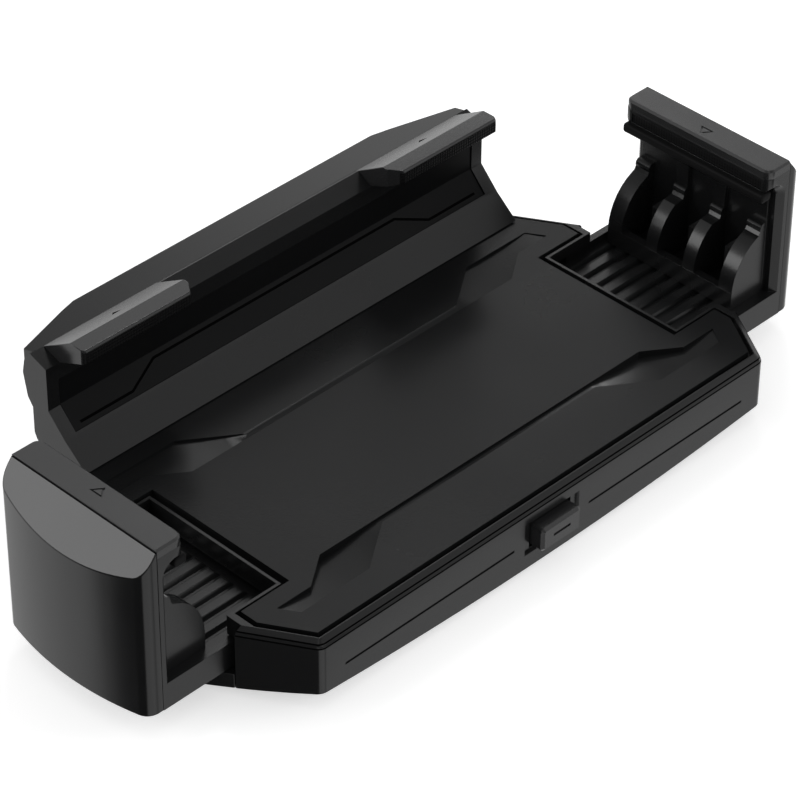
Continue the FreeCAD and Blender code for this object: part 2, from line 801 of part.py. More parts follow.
def make_scoop():
    """Cutter for one scooped hollow of the mat: its outline within a wide, tilted barrel."""
    outline = new_part("scoop_outline")
    plan = [
        ("scoop_start_x", "valley_y"),
        ("scoop_near_x", "valley_y"),
        ("scoop_bend_x", "scoop_bend_y"),
        ("scoop_tip_x", "scoop_bend_y"),
        ("scoop_end_x", "scoop_end_y"),
        ("scoop_back_x", "scoop_end_y"),
        ("scoop_start_x", "scoop_start_y"),
    ]
    slab(outline, "scoop_block", plan, "mat_low", "mat_high + overrun")
    barrel = doc.addObject("Part::Cylinder", "scoop_barrel")
    barrel.setExpression("Radius", linked("scoop_radius"))
    barrel.setExpression("Height", linked("2 * scoop_end_y"))
    tilt = "atan(scoop_rise / scoop_run)"
    barrel.Placement = FreeCAD.Placement(FreeCAD.Vector(0, 0, 0), FreeCAD.Rotation(FreeCAD.Vector(1, 0, 0), -90))
    barrel.setExpression("Placement.Rotation.Angle", linked("90deg - %s" % tilt))
    barrel.setExpression("Placement.Rotation.Axis.x", "-1")
    barrel.setExpression("Placement.Base.x", linked("scoop_low_x"))
    lift = "mat_high - scoop_depth + scoop_radius / cos(%s) - valley_y * scoop_rise / scoop_run" % tilt
    barrel.setExpression("Placement.Base.z", linked(lift))
    scoop = doc.addObject("Part::Common", "scoop")
    scoop.Base = outline
    scoop.Tool = barrel
    return scoop


def make_mat():
    """Soft inlay with a long valley front and rear that widens into a scoop at each end."""
    body = new_part("mat_sheet")
    plan = all_ways(
        [
            (front_x("mat_inset"), "base_half_y - mat_inset"),
            ("mat_end_x", slant_y("mat_end_x", "mat_inset")),
            ("mat_end_x", "mat_slot_half"),
            ("mat_slot_x", "mat_slot_half"),
        ]
    )
    slab(body, "mat", plan, "mat_low", "mat_high")
    for side, sign in (("front", "-1"), ("rear", "1")):
        steep = "%s * valley_y" % sign
        flat = "%s * (valley_y + valley_width)" % sign
        valley = [(steep, "mat_high"), (steep, "mat_high - valley_depth"), (flat, "mat_high")]
        cut_along(body, side + "_valley", valley, "-valley_half", "valley_half")
    right_rear = make_scoop()
    left_rear = mirrored(right_rear, "left_rear_scoop")
    right_front = mirrored(right_rear, "right_front_scoop", (0, 1, 0))
    left_front = mirrored(left_rear, "left_front_scoop", (0, 1, 0))
    mat = doc.addObject("Part::Cut", "top_mat")
    mat.Base = body
    mat.Tool = grouped("mat_scoops", [right_rear, left_rear, right_front, left_front])
    return mat


def make_screw_group():
    """Four equal screws as one group of solids; their shafts are plain eight-sided bars."""
    shapes = []
    for number, (across, up) in enumerate(screw_places(), 1):
        body = new_part("screw_%d" % number)
        ring = [
            ("%s + screw_radius * cos(%ddeg)" % (across, turn), "%s + screw_radius * sin(%ddeg)" % (up, turn))
            for turn in range(0, 360, 45)
        ]
        slab(body, "shaft_%d" % number, ring, "screw_head_high", "screw_top")
        head = discs(body, "head_plan_%d" % number, "XY_Plane", "screw_head_low", [(across, up)], "screw_head_radius")
        feature(body, "Pad", "head_%d" % number, head, "screw_head_high - screw_head_low")
        shapes.append(body)
    return grouped("housing_screws", shapes)


# Clamp arms


def make_arm():
    """The right clamp's ribbed plate, end wall and top lip in one piece."""
    body = new_part("right_arm")
    plan = [
        ("plate_in", "arm_half"),
        ("wall_out", "arm_half"),
        ("wall_out", "-arm_half"),
        ("plate_in", "-arm_half"),
        ("plate_in", "-fork_half"),
        ("fork_in", "-fork_half"),
        ("fork_in", "fork_half"),
        ("plate_in", "fork_half"),
    ]
    slab(body, "plate", plan, "plate_low", "plate_high")
    hook = [
        ("wall_in", "plate_high - overrun"),
        ("wall_out", "plate_high - overrun"),
        ("wall_out", "lip_high"),
        ("lip_in", "lip_high"),
        ("lip_in", "lip_low"),
        ("wall_in", "lip_low"),
    ]
    bar_across(body, "end_wall", hook, "-arm_half", "arm_half")
    rail = box("rail_from", "wall_in", "rail_in", "arm_half")
    slab(body, "raised_rail", rail, "plate_high - overrun", "rail_top")
    start = "(-4 * groove_pitch)"
    profile = [
        ("%s - groove_floor_half" % start, "plate_high - groove_depth"),
        ("%s + groove_floor_half" % start, "plate_high - groove_depth"),
        ("%s + groove_half" % start, "plate_high - groove_shoulder_deep"),
        ("%s + groove_half + groove_shoulder" % start, "plate_high + snug_gap"),
        ("%s - groove_half - groove_shoulder" % start, "plate_high + snug_gap"),
        ("%s - groove_half" % start, "plate_high - groove_shoulder_deep"),
    ]
    groove = cut_along(body, "first_groove", profile, "groove_start", "wall_in - snug_gap")
    line_pattern(body, "grooves", groove, "Y", "8 * groove_pitch", 9)
    ends = [
        ("groove_start", "plate_high - groove_depth"),
        ("rib_end", "plate_high - groove_depth"),
        ("rib_end + groove_depth", "plate_high + snug_gap"),
        ("groove_start", "plate_high + snug_gap"),
    ]
    cut_across(body, "rib_ends", ends, "-slot_half", "slot_half")
    for side, sign in (("front", "-1"), ("rear", "1")):
        middle_y = "%s * (rack_root + rack_back) / 2" % sign
        half = "(rack_back - rack_root) / 2 + fit_gap"
        neck_out = "rack_head_x + slide_gap"
        neck = box("fork_in - overrun", neck_out, "%s - (%s)" % (middle_y, half), "%s + (%s)" % (middle_y, half))
        cut_slab(body, side + "_neck", neck, "plate_low - overrun", "plate_high + overrun")
        wide = "%s + rack_head_half" % half
        low_y = "%s - (%s)" % (middle_y, wide)
        high_y = "%s + (%s)" % (middle_y, wide)
        head = box("rack_head_x - fit_gap", "rack_head_out + fit_gap", low_y, high_y)
        cut_slab(body, side + "_head_seat", head, "plate_low - overrun", "plate_high + overrun")
    band = box("-band_half", "band_half", "band_low", "band_high")
    cut_along(body, "band_seat", band, "lip_in - overrun", "lip_in + band_depth")
    soften(body, "Fillet", "inner_rounds", "inner_round", picks_inner_corner)
    soften(body, "Chamfer", "mouth_chamfers", "mouth_bevel", picks_mouth_edge)
    soften(body, "Fillet", "lip_rounds", "lip_round", picks_lip_corner)
    return body


def picks_lip_corner(edge):
    """The two upright corners where the lip faces the phone."""
    spot = middle(edge)
    return runs_along(edge, "z") and near(spot.x, size_of("lip_in")) and near(abs(spot.y), size_of("arm_half"))


def picks_inner_corner(edge):
    spot = middle(edge)
    return runs_along(edge, "y") and near(spot.x, size_of("wall_in")) and near(spot.z, size_of("lip_low"))


def picks_mouth_edge(edge):
    """The long upright edges at the mouth of the clamp."""
    spot = middle(edge)
    at_side = near(abs(spot.y), size_of("arm_half")) and near(spot.x, size_of("wall_in"))
    return runs_along(edge, "z") and at_side and edge.Length > size_of("lip_low") / 2


def make_cap():
    """Strip on the lip with a triangle cut into it as a fine line."""
    body = new_part("right_cap")
    strip = box("lip_in", "wall_out", "-arm_half", "arm_half")
    slab(body, "strip", strip, "lip_high", "cap_high")
    soften(body, "Fillet", "inner_corners", "cap_round", picks_lip_corner)
    soften(body, "Chamfer", "top_bevels", "cap_bevel", picks_cap_top)
    triangle = [("mark_tip_x", "0"), ("mark_back_x", "-mark_half"), ("mark_back_x", "mark_half")]
    cut_slab(body, "mark", triangle, "cap_high - mark_depth", "cap_high")
    tip = "mark_tip_x + 2 * mark_line"
    back = "mark_back_x - mark_line"
    half = "mark_half - 1.7 * mark_line"
    slab(body, "mark_island", [(tip, "0"), (back, "-(%s)" % half), (back, half)], "cap_high - mark_depth", "cap_high")
    return body


def picks_cap_top(edge):
    spot = middle(edge)
    outside = near(abs(spot.y), size_of("arm_half")) or near(spot.x, size_of("lip_in"))
    return near(spot.z, size_of("cap_high")) and outside and edge.Length > size_of("cap_round")


def make_lip_band():
    body = new_part("right_lip_band")
    plan = box("lip_in + band_inset", "lip_in + band_depth", "-band_half", "band_half")
    slab(body, "band", plan, "band_low", "band_high")
    return body


def make_lip_pad():
    body = new_part("right_lip_pad")
    plan = box("lip_pad_in", "wall_in - inner_round", "-lip_pad_half", "lip_pad_half")
    slab(body, "pad", plan, "lip_pad_low", "lip_low")
    return body


def make_back_plate():
    body = new_part("right_back_plate")
    top = "lip_pad_low - slide_gap"
    plan = box("cradle_back", "wall_in", "-back_plate_half", "back_plate_half")
    slab(body, "plate", plan, "plate_high", top)
    for side, low_y, high_y in (("front", "-inner_rib_far", "-inner_rib_near"), ("rear", "inner_rib_near", "inner_rib_far")):
        post = box("cradle_back - pilaster_thick", "wall_in - back_plate_thick / 2", low_y, high_y)
        slab(body, side + "_pilaster", post, "inner_knob_top + snug_gap", top)
    return body


def arc_points(radius_x, radius_z, angles):
    """Places on a quarter drum around the cradle's centre, as pairs of formulas."""
    points = []
    for turn in angles:
        across = "drum_x - %s * cos(%ddeg)" % (radius_x, turn)
        points.append((across, "drum_z + %s * sin(%ddeg)" % (radius_z, turn)))
    return points


def rib_outline(top, first_angle):
    """A rounded shoulder that swings up into a small rounded knob at the back."""
    points = [("cradle_back", "plate_high"), ("cradle_back", top)]
    for turn in (90, 60, 30, 0, -30):
        across = "knob_in + knob_round * (1 - cos(%ddeg))" % turn
        points.append((across, "%s - knob_round * (1 - sin(%ddeg))" % (top, turn)))
    points.append(("knob_in - knob_round / 4", "%s - 2.2 * knob_round" % top))
    points += arc_points("drum_rx", "drum_rz", range(first_angle, -10, -10))
    points.append(("drum_x - drum_rx", "plate_high"))
    return points


def make_cradle():
    """Four rounded ribs on a cross bar, with a small block beside each rib but the last."""
    body = new_part("right_rib_cradle")
    ribs = (
        ("outer_front", "-cradle_half", "-outer_rib_near", "outer_knob_top", 70),
        ("inner_front", "-inner_rib_far", "-inner_rib_near", "inner_knob_top", 60),
        ("inner_rear", "inner_rib_near", "inner_rib_far", "inner_knob_top", 60),
        ("outer_rear", "outer_rib_near", "cradle_half", "outer_knob_top", 70),
    )
    first = "drum_x - drum_rx"
    bar = box(first, "drum_x - drum_rx + bar_thick", "-cradle_half", "cradle_half")
    slab(body, "cross_bar", bar, "plate_high", "bar_top")
    floor_plan = box(first, "cradle_back", "-cradle_half", "cradle_half")
    slab(body, "floor", floor_plan, "plate_high", "plate_high + cradle_floor")
    for number, side_y in enumerate(("-outer_rib_near", "-inner_rib_near", "inner_rib_far"), 1):
        block = box("drum_x - block_rx", "cradle_back", side_y, side_y + " + block_wide")
        slab(body, "block_%d" % number, block, "plate_high", "drum_z + block_top")
    for name, low_y, high_y, top, first_angle in ribs:
        bar_across(body, name + "_rib", rib_outline(top, first_angle), low_y, high_y)
    return body


def make_grip():
    """Bulged outer shell of the right clamp with a sloping top."""
    body = new_part("right_grip_shell")
    sketch = sketch_on(body, "bulge_plan", "XY_Plane", "plate_low")
    half = size_of("arm_half")
    inner_x = size_of("wall_out")
    peak_x = size_of("grip_out")
    radius = size_of("grip_bulge")
    edge_x = peak_x - radius + math.sqrt(radius * radius - half * half)
    start, end = FreeCAD.Vector(edge_x, -half, 0), FreeCAD.Vector(edge_x, half, 0)
    sketch.addGeometry(Part.Arc(start, FreeCAD.Vector(peak_x, 0, 0), end), False)
    corners = [end, FreeCAD.Vector(inner_x, half, 0), FreeCAD.Vector(inner_x, -half, 0), start]
    for index in range(3):
        sketch.addGeometry(Part.LineSegment(corners[index], corners[index + 1]), False)
    for first, second in ((0, 1), (1, 2), (2, 3)):
        sketch.addConstraint(Sketcher.Constraint("Coincident", first, 2, second, 1))
    sketch.addConstraint(Sketcher.Constraint("Coincident", 3, 2, 0, 1))
    number = sketch.addConstraint(Sketcher.Constraint("Radius", 0, radius))
    sketch.setExpression("Constraints[%d]" % number, linked("grip_bulge"))
    hold(sketch, "DistanceX", 0, 3, "grip_out - grip_bulge")
    hold(sketch, "DistanceY", 0, 3, "0")
    for geometry, point, place in ((0, 1, "-arm_half"), (0, 2, "arm_half"), (2, 1, "arm_half"), (3, 1, "-arm_half")):
        hold(sketch, "DistanceY", geometry, point, place)
    for geometry in (2, 3):
        hold(sketch, "DistanceX", geometry, 1, "wall_out")
    feature(body, "Pad", "bulge", sketch, "grip_top - plate_low")
    soften(body, "Fillet", "outer_corners", "grip_round", picks_grip_corner)
    slope = "grip_slope_drop / (grip_out - wall_out)"
    far_x = "grip_out + overrun"
    wedge = [
        ("wall_out", "grip_top"),
        (far_x, "grip_top - (%s) * (%s - wall_out)" % (slope, far_x)),
        (far_x, "grip_top + overrun"),
        ("wall_out", "grip_top + overrun"),
    ]
    cut_across(body, "sloping_top", wedge, "-arm_half - overrun", "arm_half + overrun")
    hollow = box("-grip_hollow_half", "grip_hollow_half", "grip_hollow_low", "grip_hollow_high")
    cut_along(body, "inner_hollow", hollow, "wall_out - overrun", "wall_out + grip_hollow_deep")
    return body


def picks_grip_corner(edge):
    spot = middle(edge)
    outer = spot.x > size_of("wall_out") + size_of("overrun")
    return runs_along(edge, "z") and near(abs(spot.y), size_of("arm_half")) and outer


def make_rack(label, turn):
    """Toothed bar that the pinion drives; the left one is the right one turned half round."""
    body = new_part(label)
    back = "-rack_back"
    root = "-rack_root"
    slab(body, label + "_bar", box("-rack_end", "rack_head_out", back, root), "rack_low", "rack_high")
    head = box("rack_head_x", "rack_head_out", "%s - rack_head_half" % back, "%s + rack_head_half" % root)
    slab(body, label + "_head", head, "rack_low", "rack_high")
    start = "-3.5 * tooth_pitch"
    tip = "-(pitch_radius - addendum)"
    tooth = [
        ("%s - tooth_root_half" % start, root),
        ("%s + tooth_root_half" % start, root),
        ("%s + tooth_tip_half" % start, tip),
        ("%s - tooth_tip_half" % start, tip),
    ]
    first = slab(body, label + "_tooth", tooth, "rack_low", "rack_high")
    line_pattern(body, label + "_teeth", first, "X", "9 * tooth_pitch", 10)
    body.Placement = FreeCAD.Placement(FreeCAD.Vector(0, 0, 0), FreeCAD.Rotation(turn, 0, 0))
    return body


def make_pinion():
    """Ten-toothed pinion with the lock's disc under it."""
    body = new_part("pinion_gear")
    disc = discs(body, "disc_plan", "XY_Plane", "disc_low", [("0", "0")], "disc_radius")
    feature(body, "Pad", "lock_disc", disc, "disc_high - disc_low")
    core = discs(body, "core_plan", "XY_Plane", "disc_high", [("0", "0")], "gear_root")
    feature(body, "Pad", "core", core, "gear_high - disc_high")
    low_y = "(gear_root - slide_gap)"
    high_y = "(pitch_radius + addendum)"
    tooth = [
        ("-gear_root_half", low_y),
        ("gear_root_half", low_y),
        ("gear_pitch_half", "pitch_radius"),
        ("tooth_tip_half", high_y),
        ("-tooth_tip_half", high_y),
        ("-gear_pitch_half", "pitch_radius"),
    ]
    first = slab(body, "gear_tooth", tooth, "gear_low", "gear_high")
    ring = body.newObject("PartDesign::PolarPattern", "gear_teeth")
    ring.Originals = [first]
    ring.Axis = (axis_of(body, "Z"), [""])
    ring.Angle = 360
    ring.Occurrences = 10
    body.Tip = ring
    bore = discs(body, "bore_plan", "XY_Plane", "gear_high", [("0", "0")], "axle_radius + snug_gap")
    feature(body, "Pocket", "bore", bore, "gear_high - disc_low")
    return body


def make_axle():
    axle = doc.addObject("Part::Cylinder", "pinion_axle")
    axle.setExpression("Radius", linked("axle_radius"))
    axle.setExpression("Height", linked("axle_high - axle_low"))
    axle.setExpression("Placement.Base.z", linked("axle_low"))
    return axle


# Release button


def make_button():
    """Key with a bevelled face and a slot mark, and the flange that keeps it in."""
    body = new_part("release_button")
    face = box("-button_half", "button_half", "button_low", "button_high")
    bar_across(body, "key", face, "-button_face_y", "button_rear_y + flange_thick / 2")
    soften(body, "Fillet", "key_rounds", "button_round", picks_button_corner)
    soften(body, "Chamfer", "key_bevel", "button_bevel", picks_button_face)
    flange = box("-flange_half", "flange_half", "flange_low", "flange_high")
    bar_across(body, "flange", flange, "button_rear_y", "button_rear_y + flange_thick")
    mark = box("-button_mark_half", "button_mark_half", "button_mark_low", "button_mark_high")
    cut_across(body, "key_mark", mark, "-button_face_y - overrun", "-button_face_y + mark_depth")
    return body


def picks_button_corner(edge):
    return runs_along(edge, "y")


def picks_button_face(edge):
    return near(middle(edge).y, -size_of("button_face_y"))


def make_lock_plate():
    body = new_part("lock_plate")
    stem = box("-stem_half", "stem_half", "leaf_root_y", "-loop_front + overrun")
    slab(body, "stem", stem, "lock_low", "lock_high")
    slab(body, "loop", box("-loop_half", "loop_half", "-loop_front", "loop_rear"), "lock_low", "lock_high")
    window = box("-window_half", "window_half", "-window_front", "window_rear")
    cut_slab(body, "window", window, "lock_low - overrun", "lock_high + overrun")
    return body


def make_button_spring():
    """Bent leaf between the button's flange and the channel wall, in plan."""
    body = new_part("button_spring")
    end_y = "leaf_root_y + leaf_reach"
    plan = [
        ("-leaf_middle_half", "leaf_root_y"),
        ("leaf_middle_half", "leaf_root_y"),
        ("leaf_end_x", end_y),
        ("leaf_end_x + leaf_foot", end_y),
        ("leaf_end_x + leaf_foot", "%s + leaf_thick" % end_y),
        ("leaf_end_x - leaf_thick / 2", "%s + leaf_thick" % end_y),
        ("leaf_middle_half - leaf_thick / 2", "leaf_root_y + leaf_thick"),
    ]
    left = [("-(%s)" % across, up) for across, up in reversed(plan[2:])]
    slab(body, "leaf", plan + left, "leaf_low", "leaf_high")
    return body


# Rear stop


def stop_part(label):
    """A part of the rear stop, whose own Y places count from the hinge axis."""
    body = new_part(label)
    body.setExpression("Placement.Base.y", linked("hinge_y"))
    return body


def make_flap():
    """Shell of the rear stop, with its hinge barrel and the seat of its panel."""
    body = stop_part("flap_shell")
    section = [
        ("flap_front_y", "flap_front_z"),
        ("bend_y", "bend_z"),
        ("face_y", "face_z"),
        ("face_y", "head_z"),
        ("crest_y", "crest_z"),
        ("back_top_y", "back_top_z"),
        ("back_y", "back_z"),
        ("neck_y", "neck_z"),
        ("heel_y", "heel_top_z"),
        ("heel_y", "heel_low_z"),
        ("(heel_y + toe_y) / 2", "flap_front_z + toe_bevel"),
        ("toe_y", "flap_front_z"),
    ]
    bar_along(body, "shell", section, "-flap_half", "flap_half")
    ridge = [
        ("face_y", "head_z"),
        ("ridge_y", "ridge_z"),
        ("crest_y", "crest_z"),
        ("crest_y - overrun", "crest_z - overrun"),
    ]
    bar_along(body, "middle_ridge", ridge, "-hook_near + snug_gap", "hook_near - snug_gap")
    ring = discs(body, "barrel_ring", "YZ_Plane", "-flap_half", [("0", "hinge_z")], "barrel_radius")
    feature(body, "Pad", "barrel", ring, "2 * flap_half")
    seat = [
        ("bend_y + seat_margin", "bend_z + seat_margin"),
        ("bend_y + panel_thick + snug_gap", "bend_z - panel_thick / 2"),
        ("face_y + panel_thick", "face_z - panel_thick / 2"),
        ("face_y + panel_thick", "panel_top"),
        ("face_y - overrun", "panel_top"),
        ("face_y - overrun", "face_z - 0.8 * overrun"),
    ]
    cut_along(body, "panel_seat", seat, "-panel_half - fit_gap", "panel_half + fit_gap")
    for side, low_x, high_x in (("left", "-lug_far", "-lug_near"), ("right", "lug_near", "lug_far")):
        ring = discs(
            body, side + "_lug_clear_ring", "YZ_Plane", "%s + slide_gap" % high_x,
            [("0", "hinge_z")], "lug_clear_radius",
        )
        feature(body, "Pocket", side + "_lug_clear", ring, "lug_far - lug_near + 2 * slide_gap")
    for side, high_x in (("left", "-pin_near + fit_gap"), ("right", "pin_far + fit_gap")):
        hole = discs(
            body, side + "_pin_ring", "YZ_Plane", high_x, [("0", "hinge_z")], "pin_radius + snug_gap"
        )
        feature(body, "Pocket", side + "_pin_hole", hole, "pin_far - pin_near + 2 * fit_gap")
    return body


def make_panel():
    """Bent panel let into the front of the rear stop."""
    body = stop_part("flap_panel")
    section = [
        ("bend_y + seat_margin + 2 * panel_inset", "bend_z + seat_margin"),
        ("bend_y + panel_thick + 3 * snug_gap", "bend_z - panel_thick / 2 + panel_inset"),
        ("face_y + panel_thick - snug_gap", "face_z - panel_thick / 2 + fit_gap"),
        ("face_y + panel_thick - snug_gap", "panel_top - snug_gap"),
        ("face_y + panel_inset", "panel_top - snug_gap"),
        ("face_y + panel_inset", "face_z"),
    ]
    bar_along(body, "panel", section, "-panel_half", "panel_half")
    return body


def make_tab():
    """Rear finger tab behind the stop, with slanted corners."""
    body = stop_part("flap_back_cover")
    section = [
        ("crest_y", "crest_z"),
        ("tab_y - tab_edge", "tab_top_z"),
        ("tab_y", "tab_top_z - tab_edge"),
        ("tab_y - tab_edge / 2", "tab_top_z - 2 * tab_edge"),
        ("tab_mid_y", "tab_mid_z"),
        ("tab_low_y", "tab_low_z"),
        ("tab_root_y", "tab_root_z"),
        ("back_y", "back_z"),
        ("back_top_y", "back_top_z"),
    ]
    bar_along(body, "tab", section, "-tab_end_half", "tab_end_half")
    for side, sign in (("left", "-1"), ("right", "1")):
        corner = [
            ("%s * (tab_half - tab_round)" % sign, "tab_y + snug_gap"),
            ("%s * (tab_half - 0.15 * tab_round)" % sign, "tab_y - 0.08 * tab_round"),
            ("%s * (tab_half + 0.55 * tab_round)" % sign, "tab_y - 0.3 * tab_round"),
            ("%s * (tab_end_half + snug_gap)" % sign, "tab_end_y"),
            ("%s * (tab_end_half + overrun)" % sign, "tab_end_y"),
            ("%s * (tab_end_half + overrun)" % sign, "tab_y + overrun"),
            ("%s * (tab_half - tab_round)" % sign, "tab_y + overrun"),
        ]
        cut_slab(body, side + "_corner", corner, "tab_root_z - overrun", "crest_z + overrun")
    return body


def cut_hook_corners(body):
    """Slant the two front corners of the hook, or of its band, in plan."""
    low_y = "hook_tip_y - overrun"
    reach = "(near_corner_x - hook_near) / (near_corner_y - hook_tip_y)"
    near_corner = [
        ("hook_near - overrun", low_y),
        ("near_corner_x + overrun * (%s)" % reach, low_y),
        ("hook_near - overrun", "near_corner_y + overrun / (%s)" % reach),
    ]
    reach = "(hook_far - far_corner_x) / (far_corner_y - hook_tip_y)"
    far_corner = [
        ("hook_far + overrun", low_y),
        ("hook_far + overrun", "far_corner_y + overrun / (%s)" % reach),
        ("far_corner_x - overrun * (%s)" % reach, low_y),
    ]
    cut_slab(body, "near_corner", near_corner, "head_z - overrun", "hook_top + overrun")
    cut_slab(body, "far_corner", far_corner, "head_z - overrun", "hook_top + overrun")


def make_hook():
    body = stop_part("right_hook")
    band_y = "hook_tip_y + hook_band_thick"
    section = [
        (band_y, "hook_under - hook_fall * hook_band_thick"),
        (band_y, "hook_band_high"),
        ("hook_tip_y", "hook_band_high"),
        ("hook_tip_y", "hook_top - hook_edge"),
        ("hook_tip_y + hook_edge", "hook_top"),
        ("hook_flat_y", "hook_top"),
        ("crest_y", "crest_z"),
        ("face_y", "head_z"),
    ]
    bar_along(body, "hook", section, "hook_near", "hook_far")
    cut_hook_corners(body)
    return body


def make_hook_band():
    """Dark strip along the front of the hook."""
    body = stop_part("right_hook_band")
    section = [
        ("hook_tip_y", "hook_under"),
        ("hook_tip_y + hook_band_thick", "hook_under - hook_fall * hook_band_thick"),
        ("hook_tip_y + hook_band_thick", "hook_band_high"),
        ("hook_tip_y", "hook_band_high"),
    ]
    bar_along(body, "band", section, "hook_near", "hook_far")
    cut_hook_corners(body)
    return body


def make_pins():
    """Two hinge pins as one group of solids."""
    pins = []
    for side, start in (("left", "-pin_far"), ("right", "pin_near")):
        pin = doc.addObject("Part::Cylinder", side + "_hinge_pin")
        pin.setExpression("Radius", linked("pin_radius"))
        pin.setExpression("Height", linked("pin_far - pin_near"))
        pin.Placement = FreeCAD.Placement(
            FreeCAD.Vector(0, 0, 0), FreeCAD.Rotation(FreeCAD.Vector(0, 1, 0), 90)
        )
        pin.setExpression("Placement.Base.x", linked(start))
        pin.setExpression("Placement.Base.y", linked("hinge_y"))
        pin.setExpression("Placement.Base.z", linked("hinge_z"))
        pins.append(pin)
    return grouped("hinge_pins", pins)


# Make every part, check it and write its STEP file

nodes = [
    make_housing(),
    make_cover(),
    make_mat(),
    make_screw_group(),
    make_button(),
    make_lock_plate(),
    make_button_spring(),
    make_pinion(),
    make_axle(),
    make_rack("right_rack", 0),
    make_rack("left_rack", 180),
    make_flap(),
    make_panel(),
    make_tab(),
    make_pins(),
]
PAIRED = (
    make_arm,
    make_cap,
    make_lip_band,
    make_lip_pad,
    make_back_plate,
    make_cradle,
    make_grip,
    make_hook,
    make_hook_band,
)
for maker in PAIRED:
    right = maker()
    nodes.append(right)
    nodes.append(mirrored(right, right.Label.replace("right", "left")))

doc.recompute()
for item in doc.Objects:
    if "Invalid" in item.State or "Error" in item.State:
        raise RuntimeError("%s: %s" % (item.Label, item.State))
os.makedirs("parts", exist_ok=True)
for node in nodes:
    shape = node.Shape
    if shape.isNull() or not shape.isValid():
        raise RuntimeError("%s has no valid shape" % node.Label)
    shape.exportStep("parts/%s.step" % node.Label)
    box_now = shape.BoundBox
    print(
        "%-18s solids %d  x %.2f %.2f  y %.2f %.2f  z %.2f %.2f  volume %.0f"
        % (
            node.Label, len(shape.Solids), box_now.XMin, box_now.XMax, box_now.YMin, box_now.YMax,
            box_now.ZMin, box_now.ZMax, shape.Volume,
        )
    )
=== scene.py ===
import math

import bpy
from mathutils import Matrix, Vector


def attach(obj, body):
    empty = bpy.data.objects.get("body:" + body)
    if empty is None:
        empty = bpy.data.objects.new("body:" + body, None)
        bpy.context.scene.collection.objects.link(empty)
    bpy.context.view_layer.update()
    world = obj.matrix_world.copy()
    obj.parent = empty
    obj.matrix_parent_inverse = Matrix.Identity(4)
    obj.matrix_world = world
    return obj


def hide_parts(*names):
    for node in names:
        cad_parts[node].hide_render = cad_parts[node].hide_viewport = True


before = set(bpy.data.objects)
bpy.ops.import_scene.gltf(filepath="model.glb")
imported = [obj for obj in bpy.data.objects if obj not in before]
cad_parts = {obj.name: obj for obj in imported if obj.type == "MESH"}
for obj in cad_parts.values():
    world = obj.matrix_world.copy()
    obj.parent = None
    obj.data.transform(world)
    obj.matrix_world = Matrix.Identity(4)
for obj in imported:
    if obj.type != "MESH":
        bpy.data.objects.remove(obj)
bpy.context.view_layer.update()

bl_info = {
    "name": "Phone Holder",
    "version": (1, 0, 0),
    "blender": (4, 5, 0),
    "location": "3D View > Sidebar > Phone Holder",
    "description": "Dresses the packed phone holder with moulded edges and finishes",
    "category": "Object",
}

MM = 0.001

# Plan of the base in mm, as in the CAD: half length and half width of its front, then of its ends
BASE_FRONT = (60.0, 34.6)
BASE_END = (71.4, 15.6)
CORNER_ROUND = 2.0
ROUND_STEPS = 4

# The two seams round the rim, in mm: how far inside that plan each one runs, and how high
RIM_SEAMS = ((0.0, 14.6), (0.35, 15.4))

# The right-hand rear end of the seam between grip and cap, in mm, and its radius in rim seam widths
GRIP_SEAM_END = (84.05, 19.5, 42.35)
GRIP_SEAM_RADIUS = 1.3

# The line on the rear stop's panel, in mm: low at both ends and higher between the hooks
PANEL_LINE = (
    (-53.2, 37.0, 22.48), (-40.0, 37.0, 22.48), (-32.5, 39.4, 25.12),
    (32.5, 39.4, 25.12), (40.0, 37.0, 22.48), (53.2, 37.0, 22.48),
)

# Side view of a hook's sloping top in mm, as in the CAD: Y and Z of its front edge and of its foot
HOOK_EDGE = (36.6, 41.95)
HOOK_FOOT = (44.4, 37.2)
HOOK_SLOPE = math.atan2(HOOK_EDGE[1] - HOOK_FOOT[1], HOOK_FOOT[0] - HOOK_EDGE[0])

# The pointed mark on the right hook: its middle and size in mm, and how much wider than deep it is
MARK_PLACE = (40.8, 40.0, 39.88)
MARK_RADIUS = 0.9
MARK_DEPTH = 0.5
MARK_STRETCH = 1.6

# Mesh clean-up: points this close are merged, and faces within this many degrees of flat are joined
WELD = 0.002 * MM
LINE_WELD = 0.001 * MM
FLAT_WITHIN = 0.15

# In degrees: edges that turn more than the first are rounded, and less than the second shaded smooth
ROUND_ABOVE = 30.0
SMOOTH_BELOW = 40.0

# Grain and pimples of the finishes; scales are per metre
GRAIN_HEIGHT = 0.05 * MM
GRAIN_DETAIL = 3.0
CLOUD_SCALE = 45.0
CLOUD_DETAIL = 4.0
CLOUD_RANGE = (0.3, 0.7)
CLOUD_TINT = 0.12
PIMPLE_SCALE = 1500.0
PIMPLE_HEIGHT = 0.25 * MM
PIMPLE_BUMP = 0.9
# Near-black colour for the faces inside cut seams, lines and marks: painted shade where shade falls in the
# grooves
PAINTED_SHADE_COLOUR = (0.002, 0.002, 0.002)

# Lamps, in metres: name, place, point aimed at, size, power, and whether glossy surfaces mirror it
LAMPS = (
    ("rear_left_lamp", (-1.05, 0.8, 0.47), (0.0, 0.0, 0.02), (0.5, 0.8), 4.6, True),
    ("front_right_lamp", (0.85, -0.9, 0.6), (0.0, 0.0, 0.01), (0.5, 0.5), 3.0, False),
    ("high_rear_lamp", (0.54, 0.5, 1.08), (0.0, 0.0, 0.01), (0.2, 0.2), 1.0, True),
    ("low_rear_lamp", (0.98, 0.88, 0.48), (0.0, 0.0, 0.01), (0.15, 0.25), 0.7, True),
)

# Floor and surround: the floor's grey and what camera rays add to it, and the level of soft light
FLOOR_SIZE = 6.0
FLOOR_GREY = 0.9
FLOOR_ROUGHNESS = 0.8
FLOOR_LIFT = 0.55
SOFT_LEVEL = 0.55

